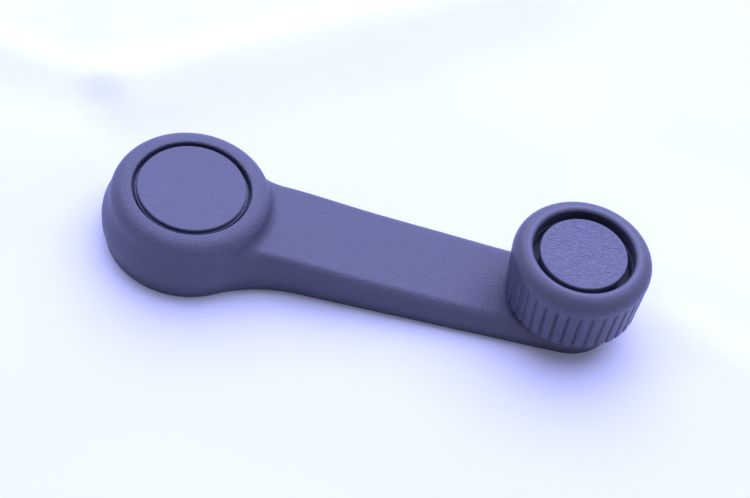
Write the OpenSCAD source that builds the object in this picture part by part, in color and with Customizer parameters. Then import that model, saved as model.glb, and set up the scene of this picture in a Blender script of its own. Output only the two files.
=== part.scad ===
// Window crank handle: a two part moulded arm over a steel strip, with a splined boss at
// the hub and a turning knob at the end.
// Millimetres. The origin is on the spindle axis at the foot of the hub, +Z points away
// from the door and +X runs along the arm to the knob.

/* [Arm] */
// Distance from the spindle axis to the knob axis
arm_l = 106.1; // [80:0.1:135]
// Half width of the lower cover where the arm meets the hub
arm_foot_half_w = 12.3; // [11:0.05:14]
// Radius of the lower cover at the end of the arm
end_foot_r = 13.6; // [12.5:0.1:16]
// Step between the lower cover and the upper cover at the hub end
arm_overhang = 1.2; // [0.6:0.05:2]
// Step between the lower cover and the upper cover at the knob end
end_overhang = 0.7; // [0.4:0.05:1.5]
// Height of the arm's sloping top above the door, taken at the spindle axis
arm_top_h = 15.3; // [12.5:0.1:16]
// Height of the same slope, taken at the knob axis
slope_end_h = 5.9; // [5:0.1:6.8]
// Height of the level end of the arm under the knob
end_top_h = 6.9; // [6.4:0.1:7.2]
// Radius of the arm's top edges
arm_edge_r = 2.4; // [1:0.1:3]
// Half width of the arm's top
arm_top_half_w = 12.9; // [11:0.1:13.4]
// Angle at which the arm's sides lean inwards
arm_draft = 6; // [2:0.5:10]
// Radius of the plan fillet between the hub and the arm, at the foot
foot_fillet_r = 40; // [25:1:48]
// Radius of the plan fillet between the hub and the arm, at the top
top_fillet_r = 12; // [8:1:16]

/* [Hub] */
// Radius of the lower cover round the hub
hub_foot_r = 22; // [21:0.1:26]
// Step between the lower cover and the upper cover round the hub
hub_overhang = 1.2; // [0.6:0.05:2]
// How far the hub's wall bulges past its lower edge
hub_bulge = 0.25; // [0:0.05:0.6]
// Radius of the hub's wall where the rim's round begins
hub_shoulder_r = 21.9; // [20.5:0.1:24]
// Height at which the rim's round begins
hub_shoulder_h = 14.2; // [12:0.1:15.5]
// Height of the hub's rim and of the hub cap's face
hub_h = 19.6; // [18.8:0.1:24]
// Height of the seam between the covers at the hub
seam_h = 4.9; // [4.4:0.1:5.6]
// Height of the seam at the end of the arm
end_seam_h = 2.9; // [2.6:0.1:3.6]

/* [Moulded covers] */
// Wall of the upper cover
wall = 2.3; // [1.6:0.1:2.6]
// Wall of the lower cover's rim
lower_wall = 2.8; // [2.4:0.1:3.2]
// Thickness of the lower cover's floor
floor_t = 1.6; // [1.2:0.1:1.8]
// Height of the lip that centres the upper cover
lip_h = 1.3; // [0.8:0.1:1.6]
// Gap between the lip and the upper cover
lip_gap = 0.3; // [0.15:0.05:0.5]
// Thickness of the stiffening ribs in the upper cover
rib_t = 1.6; // [1:0.1:2.4]

/* [Hub cap] */
// Radius of the hub cap
cap_r = 14.8; // [13.6:0.1:15.5]
// Width of the groove round the hub cap
cap_gap = 1.3; // [0.5:0.05:2]
// Thickness of the hub cap's disc
cap_t = 1.8; // [1.2:0.1:2.2]
// Depth of the groove down to the cap's seat
cap_seat_depth = 3; // [2.6:0.1:5]
// Thickness of the cap's seat
cap_seat_t = 2; // [1.5:0.1:2.4]
// Radius of the hole in the cap's seat
cap_hole_r = 12.4; // [11.4:0.1:12.8]

/* [Steel arm and spline boss] */
// Thickness of the steel arm
steel_t = 2.2; // [1.8:0.1:2.4]
// Height of the pads that the steel arm lies on
pad_h = 0.6; // [0.4:0.1:0.8]
// Half width of the steel arm
steel_half_w = 7.6; // [6:0.1:8.5]
// Radius of the steel arm's eye round the boss
steel_eye_r = 11.4; // [10.5:0.1:12.5]
// Radius of the spline boss
boss_r = 7.5; // [6.8:0.1:8]
// Radius of the boss's flange under the steel arm
boss_flange_r = 9.5; // [8.8:0.1:10]
// Radius of the round pilot at the mouth of the spindle socket
spindle_r = 5.1; // [4.5:0.05:5.6]
// Length of the round pilot
pilot_l = 2.5; // [2:0.1:3]
// Depth of the serrations
serration_depth = 0.5; // [0.3:0.05:0.7]
// Number of serrations
serrations = 36; // [24:1:48]
// Depth of the spindle socket
socket_depth = 8.6; // [8:0.1:9]
// Thickness of the boss's web over the socket
web_t = 2; // [1.5:0.1:2.2]

/* [Retaining screw] */
// Radius of the retaining screw's thread
screw_r = 2.5; // [2:0.1:3]
// Length of the retaining screw under its head
screw_l = 9.9; // [9:0.1:10.2]
// Radius of the retaining screw's head
screw_head_r = 4.75; // [4.2:0.05:5]
// Height of the retaining screw's head
screw_head_h = 3.2; // [2.4:0.1:3.4]
// Outer radius of the plain washer
washer_r = 5; // [4.6:0.1:6]
// Thickness of the plain washer
washer_t = 1; // [0.8:0.1:1.2]
// Outer radius of the spring washer
spring_washer_r = 4.6; // [4.2:0.1:4.8]
// Thickness of the spring washer
spring_washer_t = 1.2; // [0.9:0.1:1.4]
// Clearance round the screw in the washers and the web
screw_gap = 0.2; // [0.1:0.05:0.4]

/* [Cover screws] */
// Radius of a cover screw's thread
cover_screw_r = 1.45; // [1.2:0.05:1.6]
// Length of a cover screw under its head
cover_screw_l = 5.4; // [4.5:0.1:5.6]
// Radius of a cover screw's head
cover_head_r = 2.8; // [2.3:0.1:2.9]
// Height of a cover screw's head
cover_head_h = 1.6; // [1.2:0.1:1.8]
// Depth of the counterbore for a cover screw's head
counterbore_depth = 2; // [1.8:0.1:2.2]
// Distance of the cover screw in the arm from the spindle axis
arm_screw_x = 62; // [50:1:70]
// Distance of the cover screws in the hub from the spindle axis
hub_screw_r = 17.6; // [17.2:0.1:17.8]
// Direction of the cover screws in the hub, counted from the arm
hub_screw_a = 140; // [110:1:160]

/* [Knob] */
// Largest radius of the knob's skirt, under the round rim
knob_r = 19.1; // [17.5:0.1:21]
// Radius of the knob at its lower edge
knob_foot_r = 18.15; // [17:0.05:20]
// Height of the knob's lower edge above the door
knob_foot_h = 8.8; // [8.4:0.1:10]
// Height of the knob from its lower edge to its rim
knob_h = 19.05; // [18:0.05:24]
// Height of the knob's round rim
knob_round_h = 4.3; // [3.5:0.1:5]
// Radius at which the knob's rim is highest
knob_crest_r = 15.2; // [14.6:0.1:16]
// Number of ribs round the skirt
knob_ribs = 36; // [24:1:48]
// Width of the groove between two ribs
groove_w = 1.25; // [0.8:0.05:1.6]
// Depth of the groove between two ribs
groove_depth = 0.7; // [0.3:0.05:0.9]
// Height of the plain band between the round rim and the grooves
knob_band_h = 0.6; // [0.2:0.1:2]
// Inner radius of the knob's skirt
skirt_in_r = 15.9; // [15:0.1:16.2]
// Thickness of the knob's web
knob_web_t = 2; // [1.6:0.1:2.4]
// Depth from the knob's rim to its web
knob_well_depth = 8.5; // [8:0.1:9]

/* [Knob cap] */
// Radius of the knob cap
knob_cap_r = 12; // [11.6:0.1:12.6]
// Width of the groove round the knob cap
knob_cap_gap = 1.95; // [1:0.05:2.2]
// How far the knob cap lies below the rim
knob_cap_drop = 1.2; // [0.6:0.1:2]
// Thickness of the knob cap's disc
knob_cap_t = 1.8; // [1.2:0.1:2.2]

/* [Knob bearing] */
// Radius of the knob spindle
pin_r = 4; // [3.6:0.1:4.2]
// Running clearance between the spindle and the bush
run_gap = 0.05; // [0.02:0.01:0.09]
// Wall of the bush
bush_wall = 1.9; // [1.5:0.1:2]
// Wall of the knob's inner tube
tube_wall = 2; // [1.6:0.1:2]
// Radius of the flange of the bush
bush_flange_r = 8.4; // [8:0.1:9]
// Thickness of the flange of the bush
bush_flange_t = 1.2; // [0.8:0.1:1.5]
// Radius of the spindle's shoulder
shoulder_r = 6; // [5.4:0.1:6.4]
// Radius of the spindle's tail through the steel arm
tail_r = 3; // [2.4:0.1:3.4]
// Radius of the boss that rises from the arm under the knob
end_boss_r = 9; // [8.4:0.1:9.6]
// Height of that boss's face above the door
end_boss_h = 8; // [7.4:0.1:8.2]
// Thickness of the lower thrust washer
thrust_t = 0.5; // [0.3:0.05:0.6]
// Thickness of the upper thrust washer
upper_thrust_t = 0.6; // [0.4:0.05:0.8]
// Thickness of the dished spring washer
dish_t = 0.35; // [0.25:0.05:0.5]
// Free height of the dished spring washer
dish_h = 0.8; // [0.6:0.05:1]
// Thickness of the retaining clip
clip_t = 0.8; // [0.6:0.1:1]
// Outer radius of the retaining clip
clip_r = 6; // [5.4:0.1:6.6]
// Depth of the clip's groove in the spindle
clip_groove_depth = 0.8; // [0.5:0.1:1]
// Axial gap between parts that turn on each other
axial_gap = 0.1; // [0.05:0.01:0.2]

/* [Hidden] */
$fn = 96;

moulding_colour = "#55556c";
cap_colour = "#5d5d78";
nylon_colour = "#e6e2d4";
steel_colour = "#a9adb2";
zinc_colour = "#c8c9bd";

// A cut runs this far past the face that it opens
past = 1;
// Steps of the outlines' arcs
arc_steps = 9;
// The tapers of the arm's outlines are cut from a block this long
block = 400;

// Heights in the hub
steel_z = floor_t + pad_h;
steel_top = steel_z + steel_t;
cap_seat_h = hub_h - cap_seat_depth;
cap_seat_low = cap_seat_h - cap_seat_t;
cap_low = hub_h - cap_t;
boss_top = socket_depth + web_t;
washer_top = boss_top + washer_t;
spring_washer_top = washer_top + spring_washer_t;
steel_hole_gap = 0.3;

// Radii in the hub
hub_wall_r = hub_foot_r + hub_overhang;
well_r = cap_r + cap_gap;
tube_in_r = cap_r - 0.3;
tube_out_r = tube_in_r + 1.5;
cap_leg_gap = 0.2;
cap_leg_t = 1;
cap_barb = 0.7;
cap_barb_h = 1.1;
cap_brim = 0.35 * cap_gap;
cap_brim_drop = 1.3;

// The seam slopes from here towards the knob
seam_bend_x = hub_foot_r * 0.35;

// Cover screws
post_r = cover_screw_r + 1.45;
screw_tower_r = cover_head_r + 1.1;
head_gap = 0.3;
cover_screw_places = [
    [hub_screw_r * cos(hub_screw_a), hub_screw_r * sin(hub_screw_a)],
    [hub_screw_r * cos(hub_screw_a), -hub_screw_r * sin(hub_screw_a)],
    [arm_screw_x, 0]
];

// Heights in the knob
knob_top = knob_foot_h + knob_h;
knob_web_top = knob_top - knob_well_depth;
knob_web_low = knob_web_top - knob_web_t;
knob_cap_top = knob_top - knob_cap_drop;
knob_cap_low = knob_cap_top - knob_cap_t;
bush_low = end_boss_h + thrust_t + axial_gap;
bush_flange_top = bush_low + bush_flange_t;
bush_top = knob_web_top + axial_gap;
dish_low = bush_top + axial_gap;
upper_thrust_low = dish_low + dish_h;
clip_low = upper_thrust_low + upper_thrust_t;
clip_gap = 0.05;
pin_top = clip_low + clip_t + 1.6;

// Radii in the knob
bush_r = pin_r + run_gap + bush_wall;
tube_r = bush_r + tube_wall;
knob_well_r = knob_cap_r + knob_cap_gap;
cap_slot_in_r = tube_r + 0.6;
cap_slot_out_r = cap_slot_in_r + 1.4;

// Outlines seen from above

// Slope of the side of an arm with half width w at the spindle and end radius r
function side_angle(w, r) = asin(r / norm([w, arm_l])) - atan2(w, arm_l);

// Centre of the fillet f between the hub's circle h and that side
function fillet_centre(h, w, r, f) =
    let (a = side_angle(w, r), n = w * cos(a) + f, d = sqrt(pow(h + f, 2) - n * n))
    [d * cos(a) - n * sin(a), d * sin(a) + n * cos(a)];

// One side of the arm, from the hub's circle to the middle of the rounded end
function side_points(h, w, r, f) =
    let (
        a = side_angle(w, r),
        c = fillet_centre(h, w, r, f),
        start = 180 + atan2(c[1], c[0]),
        fillet_sweep = 270 + a - start,
        end_sweep = 90 + a
    )
    concat(
        [for (i = [0 : arc_steps])
            let (t = start + fillet_sweep * i / arc_steps)
            [c[0] + f * cos(t), c[1] + f * sin(t)]],
        [for (i = [0 : arc_steps])
            let (t = end_sweep * (1 - i / arc_steps))
            [arm_l + r * cos(t), r * sin(t)]]
    );

// The far part of the hub's circle, from one fillet to the other
function hub_points(h, w, r, f) =
    let (c = fillet_centre(h, w, r, f), start = atan2(c[1], c[0]), n = 4 * arc_steps)
    [for (i = [1 : n - 1])
        let (t = -start - (360 - 2 * start) * i / n)
        [h * cos(t), h * sin(t)]];

function mirrored(points) =
    [for (i = [len(points) - 2 : -1 : 0]) [points[i][0], -points[i][1]]];

// The arm alone, closed by a straight line inside the hub
function arm_outline(h, w, r, f) =
    let (side = side_points(h, w, r, f)) concat(side, mirrored(side));

// The arm and the hub together
function full_outline(h, w, r, f) = concat(arm_outline(h, w, r, f), hub_points(h, w, r, f));

// The outline of the lower cover, moved inwards by d
module foot_shape(d) {
    polygon(full_outline(hub_foot_r - d, arm_foot_half_w - d, end_foot_r - d, foot_fillet_r + d));
}

// The outline of the upper cover at its lower edge, moved inwards by d
module skirt_shape(d) {
    polygon(full_outline(
        hub_wall_r - d,
        arm_foot_half_w + arm_overhang - d,
        end_foot_r + end_overhang - d,
        foot_fillet_r + d
    ));
}

// Height of the sloping part of the seam at a distance x from the spindle axis
function slope_h(x) = seam_h + (end_seam_h - seam_h) * (x - seam_bend_x) / (arm_l - seam_bend_x);

// Everything below the seam, or below a line that lies lift above it
module below_seam(lift) {
    rotate([90, 0, 0])
        linear_extrude(block, center = true)
            polygon([
                [-block, -past],
                [1.5 * arm_l, -past],
                [1.5 * arm_l, slope_h(1.5 * arm_l) + lift],
                [seam_bend_x, seam_h + lift],
                [-block, seam_h + lift]
            ]);
}

// Height of the arm's top at a distance x from the spindle axis
function arm_top(x) = arm_top_h + (slope_end_h - arm_top_h) * x / arm_l;

// Covers

// Outside of the arm: two bars with round edges, one sloping and one level under the
// knob, cut to the arm's outline and widened where they meet the hub
module arm_outside() {
    slope = atan2(arm_top_h - slope_end_h, arm_l);
    level_x = arm_l * 0.75;
    difference() {
        union() {
            intersection() {
                linear_extrude(arm_top_h + past)
                    polygon(arm_outline(
                        hub_wall_r - 0.6,
                        arm_foot_half_w + arm_overhang,
                        end_foot_r + end_overhang,
                        foot_fillet_r
                    ));
                union() {
                    translate([0, 0, arm_top_h])
                        rotate([0, slope, 0])
                            bar(1.5 * arm_l);
                    translate([level_x, 0, end_top_h])
                        bar(arm_l);
                }
            }
            flare();
        }
        below_seam(0);
    }
}

// A bar along +X with leaning sides and round top edges, its top at z = 0
module bar(length) {
    lean = tan(arm_draft);
    corner = [for (i = [0 : 5])
        let (t = arm_draft + (90 - arm_draft) * i / 5)
        [arm_top_half_w - arm_edge_r + arm_edge_r * cos(t), arm_edge_r * (sin(t) - 1)]];
    right = concat([[corner[0][0] + arm_top_h * lean, corner[0][1] - arm_top_h]], corner);
    left = [for (i = [len(right) - 1 : -1 : 0]) [-right[i][0], right[i][1]]];
    rotate([90, 0, 90])
        linear_extrude(length)
            polygon(concat(right, left));
}

// Web between the hub and the arm, hollowed on both sides from a large fillet at the foot
// to a small one at the top
module flare() {
    drop = arm_edge_r / 3;
    start_x = hub_foot_r * 0.36;
    end_x = foot_fillet_r * 0.8;
    half_w = hub_foot_r * 0.87;
    difference() {
        rotate([90, 0, 0])
            linear_extrude(2 * half_w, center = true)
                polygon([
                    [start_x, 0],
                    [end_x, 0],
                    [end_x, arm_top(end_x) - drop],
                    [start_x, arm_top(start_x) - drop]
                ]);
        for (side = [0, 1])
            mirror([0, side, 0])
                hull() {
                    translate([0, 0, 0])
                        linear_extrude(0.1)
                            polygon(hollow(hub_wall_r, arm_foot_half_w + arm_overhang + 0.4, foot_fillet_r));
                    translate([0, 0, arm_top_h])
                        linear_extrude(0.1)
                            polygon(hollow(hub_shoulder_r, arm_top_half_w - drop, top_fillet_r));
                }
    }
}

// Plan of the hollow beside the arm: an arc with its two tangents, closed far outside
function hollow(h, w, f) =
    let (
        c = fillet_centre(h, w, end_foot_r, f),
        start = 180 + atan2(c[1], c[0]),
        first = [c[0] + f * cos(start), c[1] + f * sin(start)],
        reach = 30
    )
    concat(
        [first + reach * [sin(start), -cos(start)]],
        [for (i = [0 : arc_steps])
            let (t = start + (270 - start) * i / arc_steps)
            [c[0] + f * cos(t), c[1] + f * sin(t)]],
        [[c[0] + reach, c[1] - f], [c[0] + reach, c[1] + reach]]
    );

// Quarter of a rounded square between a corner's two radii, n = 2 is an ellipse
function soft_corner(r0, z0, r1, z1, n, steps) =
    [for (i = [0 : steps])
        let (t = 90 * i / steps)
        [r1 + (r0 - r1) * pow(cos(t), 2 / n), z0 + (z1 - z0) * pow(sin(t), 2 / n)]];

module hub_outside() {
    wall_mid_h = (seam_h + hub_shoulder_h) / 2;
    squareness = 2.5;
    rotate_extrude()
        polygon(concat(
            [
                [0, seam_h],
                [hub_wall_r, seam_h],
                [hub_wall_r + hub_bulge, seam_h + 2.6],
                [(hub_wall_r + hub_shoulder_r) / 2 + hub_bulge, wall_mid_h + 1.2]
            ],
            soft_corner(hub_shoulder_r, hub_shoulder_h, well_r + 0.25, hub_h, squareness, 9),
            [[well_r, hub_h - 0.25], [well_r, hub_h - 0.5], [0, hub_h - 0.5]]
        ));
}

// Room inside the arm: a low part for the lip of the lower cover, and a straight part up to
// a ceiling that follows the top
module arm_room() {
    ceiling_t = 1.9;
    end_x = arm_l - end_boss_r - past;
    half_w = arm_top_half_w - wall;
    intersection() {
        translate([0, 0, -past])
            linear_extrude(seam_h + lip_h + 2 * past)
                polygon(arm_outline(
                    hub_wall_r - wall - lip_gap / 2,
                    arm_foot_half_w + arm_overhang - wall,
                    end_foot_r + end_overhang - wall,
                    foot_fillet_r + wall
                ));
        union() {
            below_seam(lip_h + lip_gap);
            translate([0, -block / 2, -past])
                cube([block, block, steel_top + past]);
        }
    }
    rotate([90, 0, 0])
        linear_extrude(2 * half_w, center = true)
            polygon([
                [0, seam_h - past],
                [end_x, steel_top - past],
                [end_x, arm_top(end_x) - ceiling_t],
                [0, arm_top(0) - ceiling_t]
            ]);
}

// Ribs that hang from the arm's ceiling down to the steel arm
module arm_ribs() {
    rib_half_w = arm_foot_half_w - lower_wall - lip_gap;
    difference() {
        for (x = [arm_l * 0.36, arm_l * 0.47, arm_l * 0.7, arm_l * 0.81])
            translate([x, -rib_half_w, steel_top])
                cube([rib_t, 2 * rib_half_w, arm_top_h]);
        // Room for a screw tower that a longer or shorter arm brings under a rib
        for (p = cover_screw_places)
            translate([p[0], p[1], 0])
                cylinder(r = screw_tower_r + lip_gap, h = seam_h + lip_gap);
    }
    spine_x = tube_out_r - 0.5;
    translate([spine_x, -rib_t / 2, seam_h + lip_gap])
        cube([arm_l * 0.7 - spine_x, rib_t, arm_top_h]);
}

// Posts that the cover screws cut their threads in
module posts(top) {
    for (p = cover_screw_places)
        translate([p[0], p[1], seam_h])
            cylinder(r = post_r, h = top - seam_h);
}

module post_holes() {
    blind = 0.3;
    for (p = cover_screw_places)
        translate([p[0], p[1], counterbore_depth])
            cylinder(r = cover_screw_r + 0.05, h = cover_screw_l + blind);
}

// The room narrows with the wall, up to the shoulder
module hub_room() {
    translate([0, 0, seam_h - past])
        cylinder(r1 = hub_wall_r - wall, r2 = hub_shoulder_r - wall, h = cap_seat_low - seam_h + past);
}

module well_tube() {
    translate([0, 0, steel_top])
        difference() {
            cylinder(r = tube_out_r, h = cap_seat_low - steel_top + past);
            translate([0, 0, -past])
                cylinder(r = tube_in_r, h = cap_seat_low - steel_top + 3 * past);
        }
}

module upper_cover() {
    color(moulding_colour)
        difference() {
            union() {
                difference() {
                    union() {
                        arm_outside();
                        hub_outside();
                    }
                    difference() {
                        union() {
                            hub_room();
                            arm_room();
                        }
                        difference() {
                            union() {
                                arm_ribs();
                                posts(cap_seat_low + past);
                            }
                            translate([0, 0, steel_top - past])
                                cylinder(r = tube_in_r, h = hub_h);
                        }
                        intersection() {
                            well_tube();
                            translate([0, 0, seam_h])
                                cylinder(r = block, h = block);
                        }
                    }
                }
                translate([arm_l, 0, steel_top])
                    cylinder(r = end_boss_r, h = end_boss_h - steel_top);
            }
            translate([0, 0, cap_seat_h])
                cylinder(r = well_r, h = cap_seat_depth + past);
            translate([0, 0, cap_seat_low - past])
                cylinder(r = cap_hole_r, h = cap_seat_t + 2 * past);
            post_holes();
            translate([arm_l, 0, 0])
                cylinder(r = shoulder_r + steel_hole_gap, h = end_boss_h + past);
        }
}

// Towers on the lower cover that the cover screws pass through
module screw_towers() {
    for (p = cover_screw_places)
        translate([p[0], p[1], 0])
            cylinder(r = screw_tower_r, h = seam_h);
}

module screw_passages() {
    for (p = cover_screw_places)
        translate([p[0], p[1], -past]) {
            cylinder(r = cover_head_r + head_gap, h = counterbore_depth + past);
            cylinder(r = cover_screw_r + 0.15, h = seam_h + 2 * past);
        }
}

// Pads that the steel arm lies on
module steel_pads() {
    pad_l = 6;
    for (x = [0.24, 0.45, 0.75])
        translate([arm_l * x, -steel_half_w, floor_t - 0.1])
            cube([pad_l, 2 * steel_half_w, pad_h + 0.1]);
}

module lower_cover() {
    color(moulding_colour)
        difference() {
            union() {
                difference() {
                    union() {
                        intersection() {
                            linear_extrude(seam_h) foot_shape(0);
                            below_seam(0);
                        }
                        intersection() {
                            linear_extrude(seam_h + lip_h) skirt_shape(wall + lip_gap);
                            below_seam(lip_h);
                        }
                    }
                    translate([0, 0, floor_t])
                        linear_extrude(seam_h + lip_h) foot_shape(lower_wall);
                    for (p = cover_screw_places)
                        translate([p[0], p[1], seam_h])
                            cylinder(r = post_r + lip_gap, h = lip_h + past);
                }
                steel_pads();
                screw_towers();
            }
            translate([0, 0, -past])
                cylinder(r = boss_flange_r + steel_hole_gap, h = seam_h + past);
            translate([arm_l, 0, -past])
                cylinder(r = shoulder_r + steel_hole_gap, h = seam_h + past);
            screw_passages();
        }
}

module cover_screws() {
    tip = 1;
    slot_depth = 0.9;
    slot_w = 0.7;
    color(steel_colour)
        for (p = cover_screw_places)
            translate([p[0], p[1], counterbore_depth])
                difference() {
                    rotate_extrude()
                        polygon([
                            [0, -cover_head_h],
                            [cover_head_r * 0.7, -cover_head_h],
                            [cover_head_r, -cover_head_h * 0.5],
                            [cover_head_r, 0],
                            [cover_screw_r, 0],
                            [cover_screw_r, cover_screw_l - tip],
                            [cover_screw_r * 0.35, cover_screw_l],
                            [0, cover_screw_l]
                        ]);
                    cross_recess(cover_head_r * 1.1, slot_w, -cover_head_h - past, slot_depth + past);
                }
}

// Crossed driver slots, cut upwards from z
module cross_recess(length, w, z, depth) {
    for (turn = [0, 90])
        rotate(turn)
            translate([-length / 2, -w / 2, z])
                cube([length, w, depth]);
}

// Steel parts in the hub

module steel_arm() {
    color(zinc_colour)
        translate([0, 0, steel_z])
            difference() {
                linear_extrude(steel_t)
                    polygon(full_outline(steel_eye_r, steel_half_w, steel_half_w, steel_eye_r));
                translate([0, 0, -past])
                    cylinder(r = boss_r, h = steel_t + 2 * past);
                translate([arm_l, 0, -past])
                    cylinder(r = tail_r, h = steel_t + 2 * past);
                translate([arm_screw_x, 0, -past])
                    cylinder(r = screw_tower_r + steel_hole_gap, h = steel_t + 2 * past);
            }
}

// Points of the serrated hole, tip and root in turn
function serration_points() =
    [for (i = [0 : 2 * serrations - 1])
        let (r = spindle_r - (i % 2 == 0 ? 0.1 : serration_depth), t = 180 * i / serrations)
        [r * cos(t), r * sin(t)]];

module spline_boss() {
    color(steel_colour)
        difference() {
            union() {
                cylinder(r = boss_r, h = boss_top);
                cylinder(r = boss_flange_r, h = steel_z);
            }
            translate([0, 0, -past])
                cylinder(r = spindle_r, h = pilot_l + past);
            translate([0, 0, pilot_l - 0.1])
                linear_extrude(socket_depth - pilot_l + 0.1)
                    polygon(serration_points());
            translate([0, 0, socket_depth - past])
                cylinder(r = screw_r + screw_gap, h = web_t + 2 * past);
        }
}

module plain_washer() {
    color(steel_colour)
        translate([0, 0, boss_top])
            difference() {
                cylinder(r = washer_r, h = washer_t);
                translate([0, 0, -past])
                    cylinder(r = screw_r + screw_gap, h = washer_t + 2 * past);
            }
}

module spring_washer() {
    split_w = 0.8;
    split_lean = 25;
    color(steel_colour)
        translate([0, 0, washer_top])
            difference() {
                cylinder(r = spring_washer_r, h = spring_washer_t);
                translate([0, 0, -past])
                    cylinder(r = screw_r + screw_gap, h = spring_washer_t + 2 * past);
                translate([spring_washer_r, 0, spring_washer_t / 2])
                    rotate([split_lean, 0, 0])
                        cube([2 * spring_washer_r, split_w, 4 * spring_washer_t], center = true);
            }
}

module retaining_screw() {
    tip_chamfer = 0.5;
    crown = 0.8;
    slot_w = 1.1;
    slot_depth = 2.2;
    color(steel_colour)
        translate([0, 0, spring_washer_top])
            difference() {
                rotate_extrude()
                    polygon([
                        [0, -screw_l],
                        [screw_r - tip_chamfer, -screw_l],
                        [screw_r, tip_chamfer - screw_l],
                        [screw_r, 0],
                        [screw_head_r, 0],
                        [screw_head_r, screw_head_h * 0.45],
                        [screw_head_r * 0.9, screw_head_h - crown * 0.6],
                        [screw_head_r * 0.6, screw_head_h],
                        [0, screw_head_h]
                    ]);
                cross_recess(screw_head_r * 1.15, slot_w, screw_head_h - slot_depth, slot_depth + past);
            }
}

// Sector blocks that leave four legs of a ring
module four_legs(reach, w, low, high) {
    for (turn = [0, 90])
        rotate(turn)
            translate([-reach, -w / 2, low])
                cube([2 * reach, w, high - low]);
}

module hub_cap() {
    leg_low = cap_seat_low - cap_barb_h - 0.1;
    leg_out_r = cap_hole_r - cap_leg_gap;
    leg_in_r = leg_out_r - cap_leg_t;
    leg_w = 7;
    edge = 0.25;
    skirt_out_r = cap_r - 0.4;
    skirt_in = cap_hole_r + 0.6;
    color(cap_colour)
        union() {
            rotate_extrude()
                polygon([
                    [0, cap_low],
                    [skirt_in, cap_low],
                    [skirt_in, cap_seat_h],
                    [skirt_out_r, cap_seat_h],
                    [skirt_out_r, cap_low],
                    [cap_r + cap_brim, cap_low],
                    [cap_r + cap_brim, hub_h - cap_brim_drop],
                    [cap_r, hub_h - cap_brim_drop],
                    [cap_r, hub_h - edge],
                    [cap_r - edge, hub_h],
                    [0, hub_h]
                ]);
            intersection() {
                rotate_extrude()
                    polygon([
                        [leg_in_r, cap_low + 0.5],
                        [leg_in_r, leg_low],
                        [leg_out_r - 0.2, leg_low],
                        [leg_out_r + cap_barb, cap_seat_low - 0.5],
                        [leg_out_r + cap_barb, cap_seat_low - 0.1],
                        [leg_out_r, cap_seat_low - 0.1],
                        [leg_out_r, cap_low + 0.5]
                    ]);
                rotate(45) four_legs(well_r, leg_w, leg_low - past, cap_low + 0.5);
            }
        }
}

// Knob and its bearing

module knob_spindle() {
    chamfer = 0.5;
    tail_head_r = tail_r + 1.3;
    tail_head_low = 0.6;
    tail_head_top = steel_z - rivet_washer_t();
    groove_r = pin_r - clip_groove_depth;
    color(steel_colour)
        translate([arm_l, 0, 0])
            rotate_extrude()
                polygon([
                    [0, tail_head_low],
                    [tail_head_r * 0.6, tail_head_low],
                    [tail_head_r, tail_head_low + 0.5],
                    [tail_head_r, tail_head_top],
                    [tail_r, tail_head_top],
                    [tail_r, steel_top],
                    [shoulder_r, steel_top],
                    [shoulder_r, end_boss_h],
                    [pin_r, end_boss_h],
                    [pin_r, clip_low],
                    [groove_r, clip_low],
                    [groove_r, clip_low + clip_t + 2 * clip_gap],
                    [pin_r, clip_low + clip_t + 2 * clip_gap],
                    [pin_r, pin_top - chamfer],
                    [pin_r - chamfer, pin_top],
                    [0, pin_top]
                ]);
}

function rivet_washer_t() = 0.7;

// A flat ring on the knob's axis
module ring(in_r, out_r, z, t) {
    translate([arm_l, 0, z])
        difference() {
            cylinder(r = out_r, h = t);
            translate([0, 0, -past])
                cylinder(r = in_r, h = t + 2 * past);
        }
}

module rivet_washer() {
    color(steel_colour)
        ring(tail_r + 0.05, shoulder_r - 0.2, steel_z - rivet_washer_t(), rivet_washer_t());
}

module lower_thrust_washer() {
    color(nylon_colour)
        ring(pin_r + 0.15, bush_flange_r, end_boss_h, thrust_t);
}

module upper_thrust_washer() {
    color(steel_colour)
        ring(pin_r + 0.1, bush_r + 0.9, upper_thrust_low, upper_thrust_t);
}

module dished_washer() {
    in_r = pin_r + 0.15;
    out_r = bush_r + 0.7;
    color(steel_colour)
        translate([arm_l, 0, dish_low])
            rotate_extrude()
                polygon([
                    [in_r, dish_h - dish_t],
                    [out_r, 0],
                    [out_r, dish_t],
                    [in_r, dish_h]
                ]);
}

module retaining_clip() {
    mouth_w = 2 * (pin_r - clip_groove_depth) * 0.8;
    lobe_w = 2.2;
    color(steel_colour)
        translate([arm_l, 0, clip_low + clip_gap])
            difference() {
                cylinder(r = clip_r, h = clip_t);
                translate([0, 0, -past])
                    cylinder(r = pin_r - clip_groove_depth + 0.03, h = clip_t + 2 * past);
                translate([0, -mouth_w / 2, -past])
                    cube([2 * clip_r, mouth_w, clip_t + 2 * past]);
                for (turn = [120, 240])
                    rotate(turn)
                        translate([pin_r - clip_groove_depth, -lobe_w / 2, -past])
                            cube([1.2, lobe_w, clip_t + 2 * past]);
            }
}

module knob_bush() {
    color(nylon_colour)
        translate([arm_l, 0, 0])
            rotate_extrude()
                polygon([
                    [pin_r + run_gap, bush_low],
                    [bush_flange_r, bush_low],
                    [bush_flange_r, bush_flange_top],
                    [bush_r, bush_flange_top],
                    [bush_r, bush_top],
                    [pin_r + run_gap, bush_top]
                ]);
}

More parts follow.
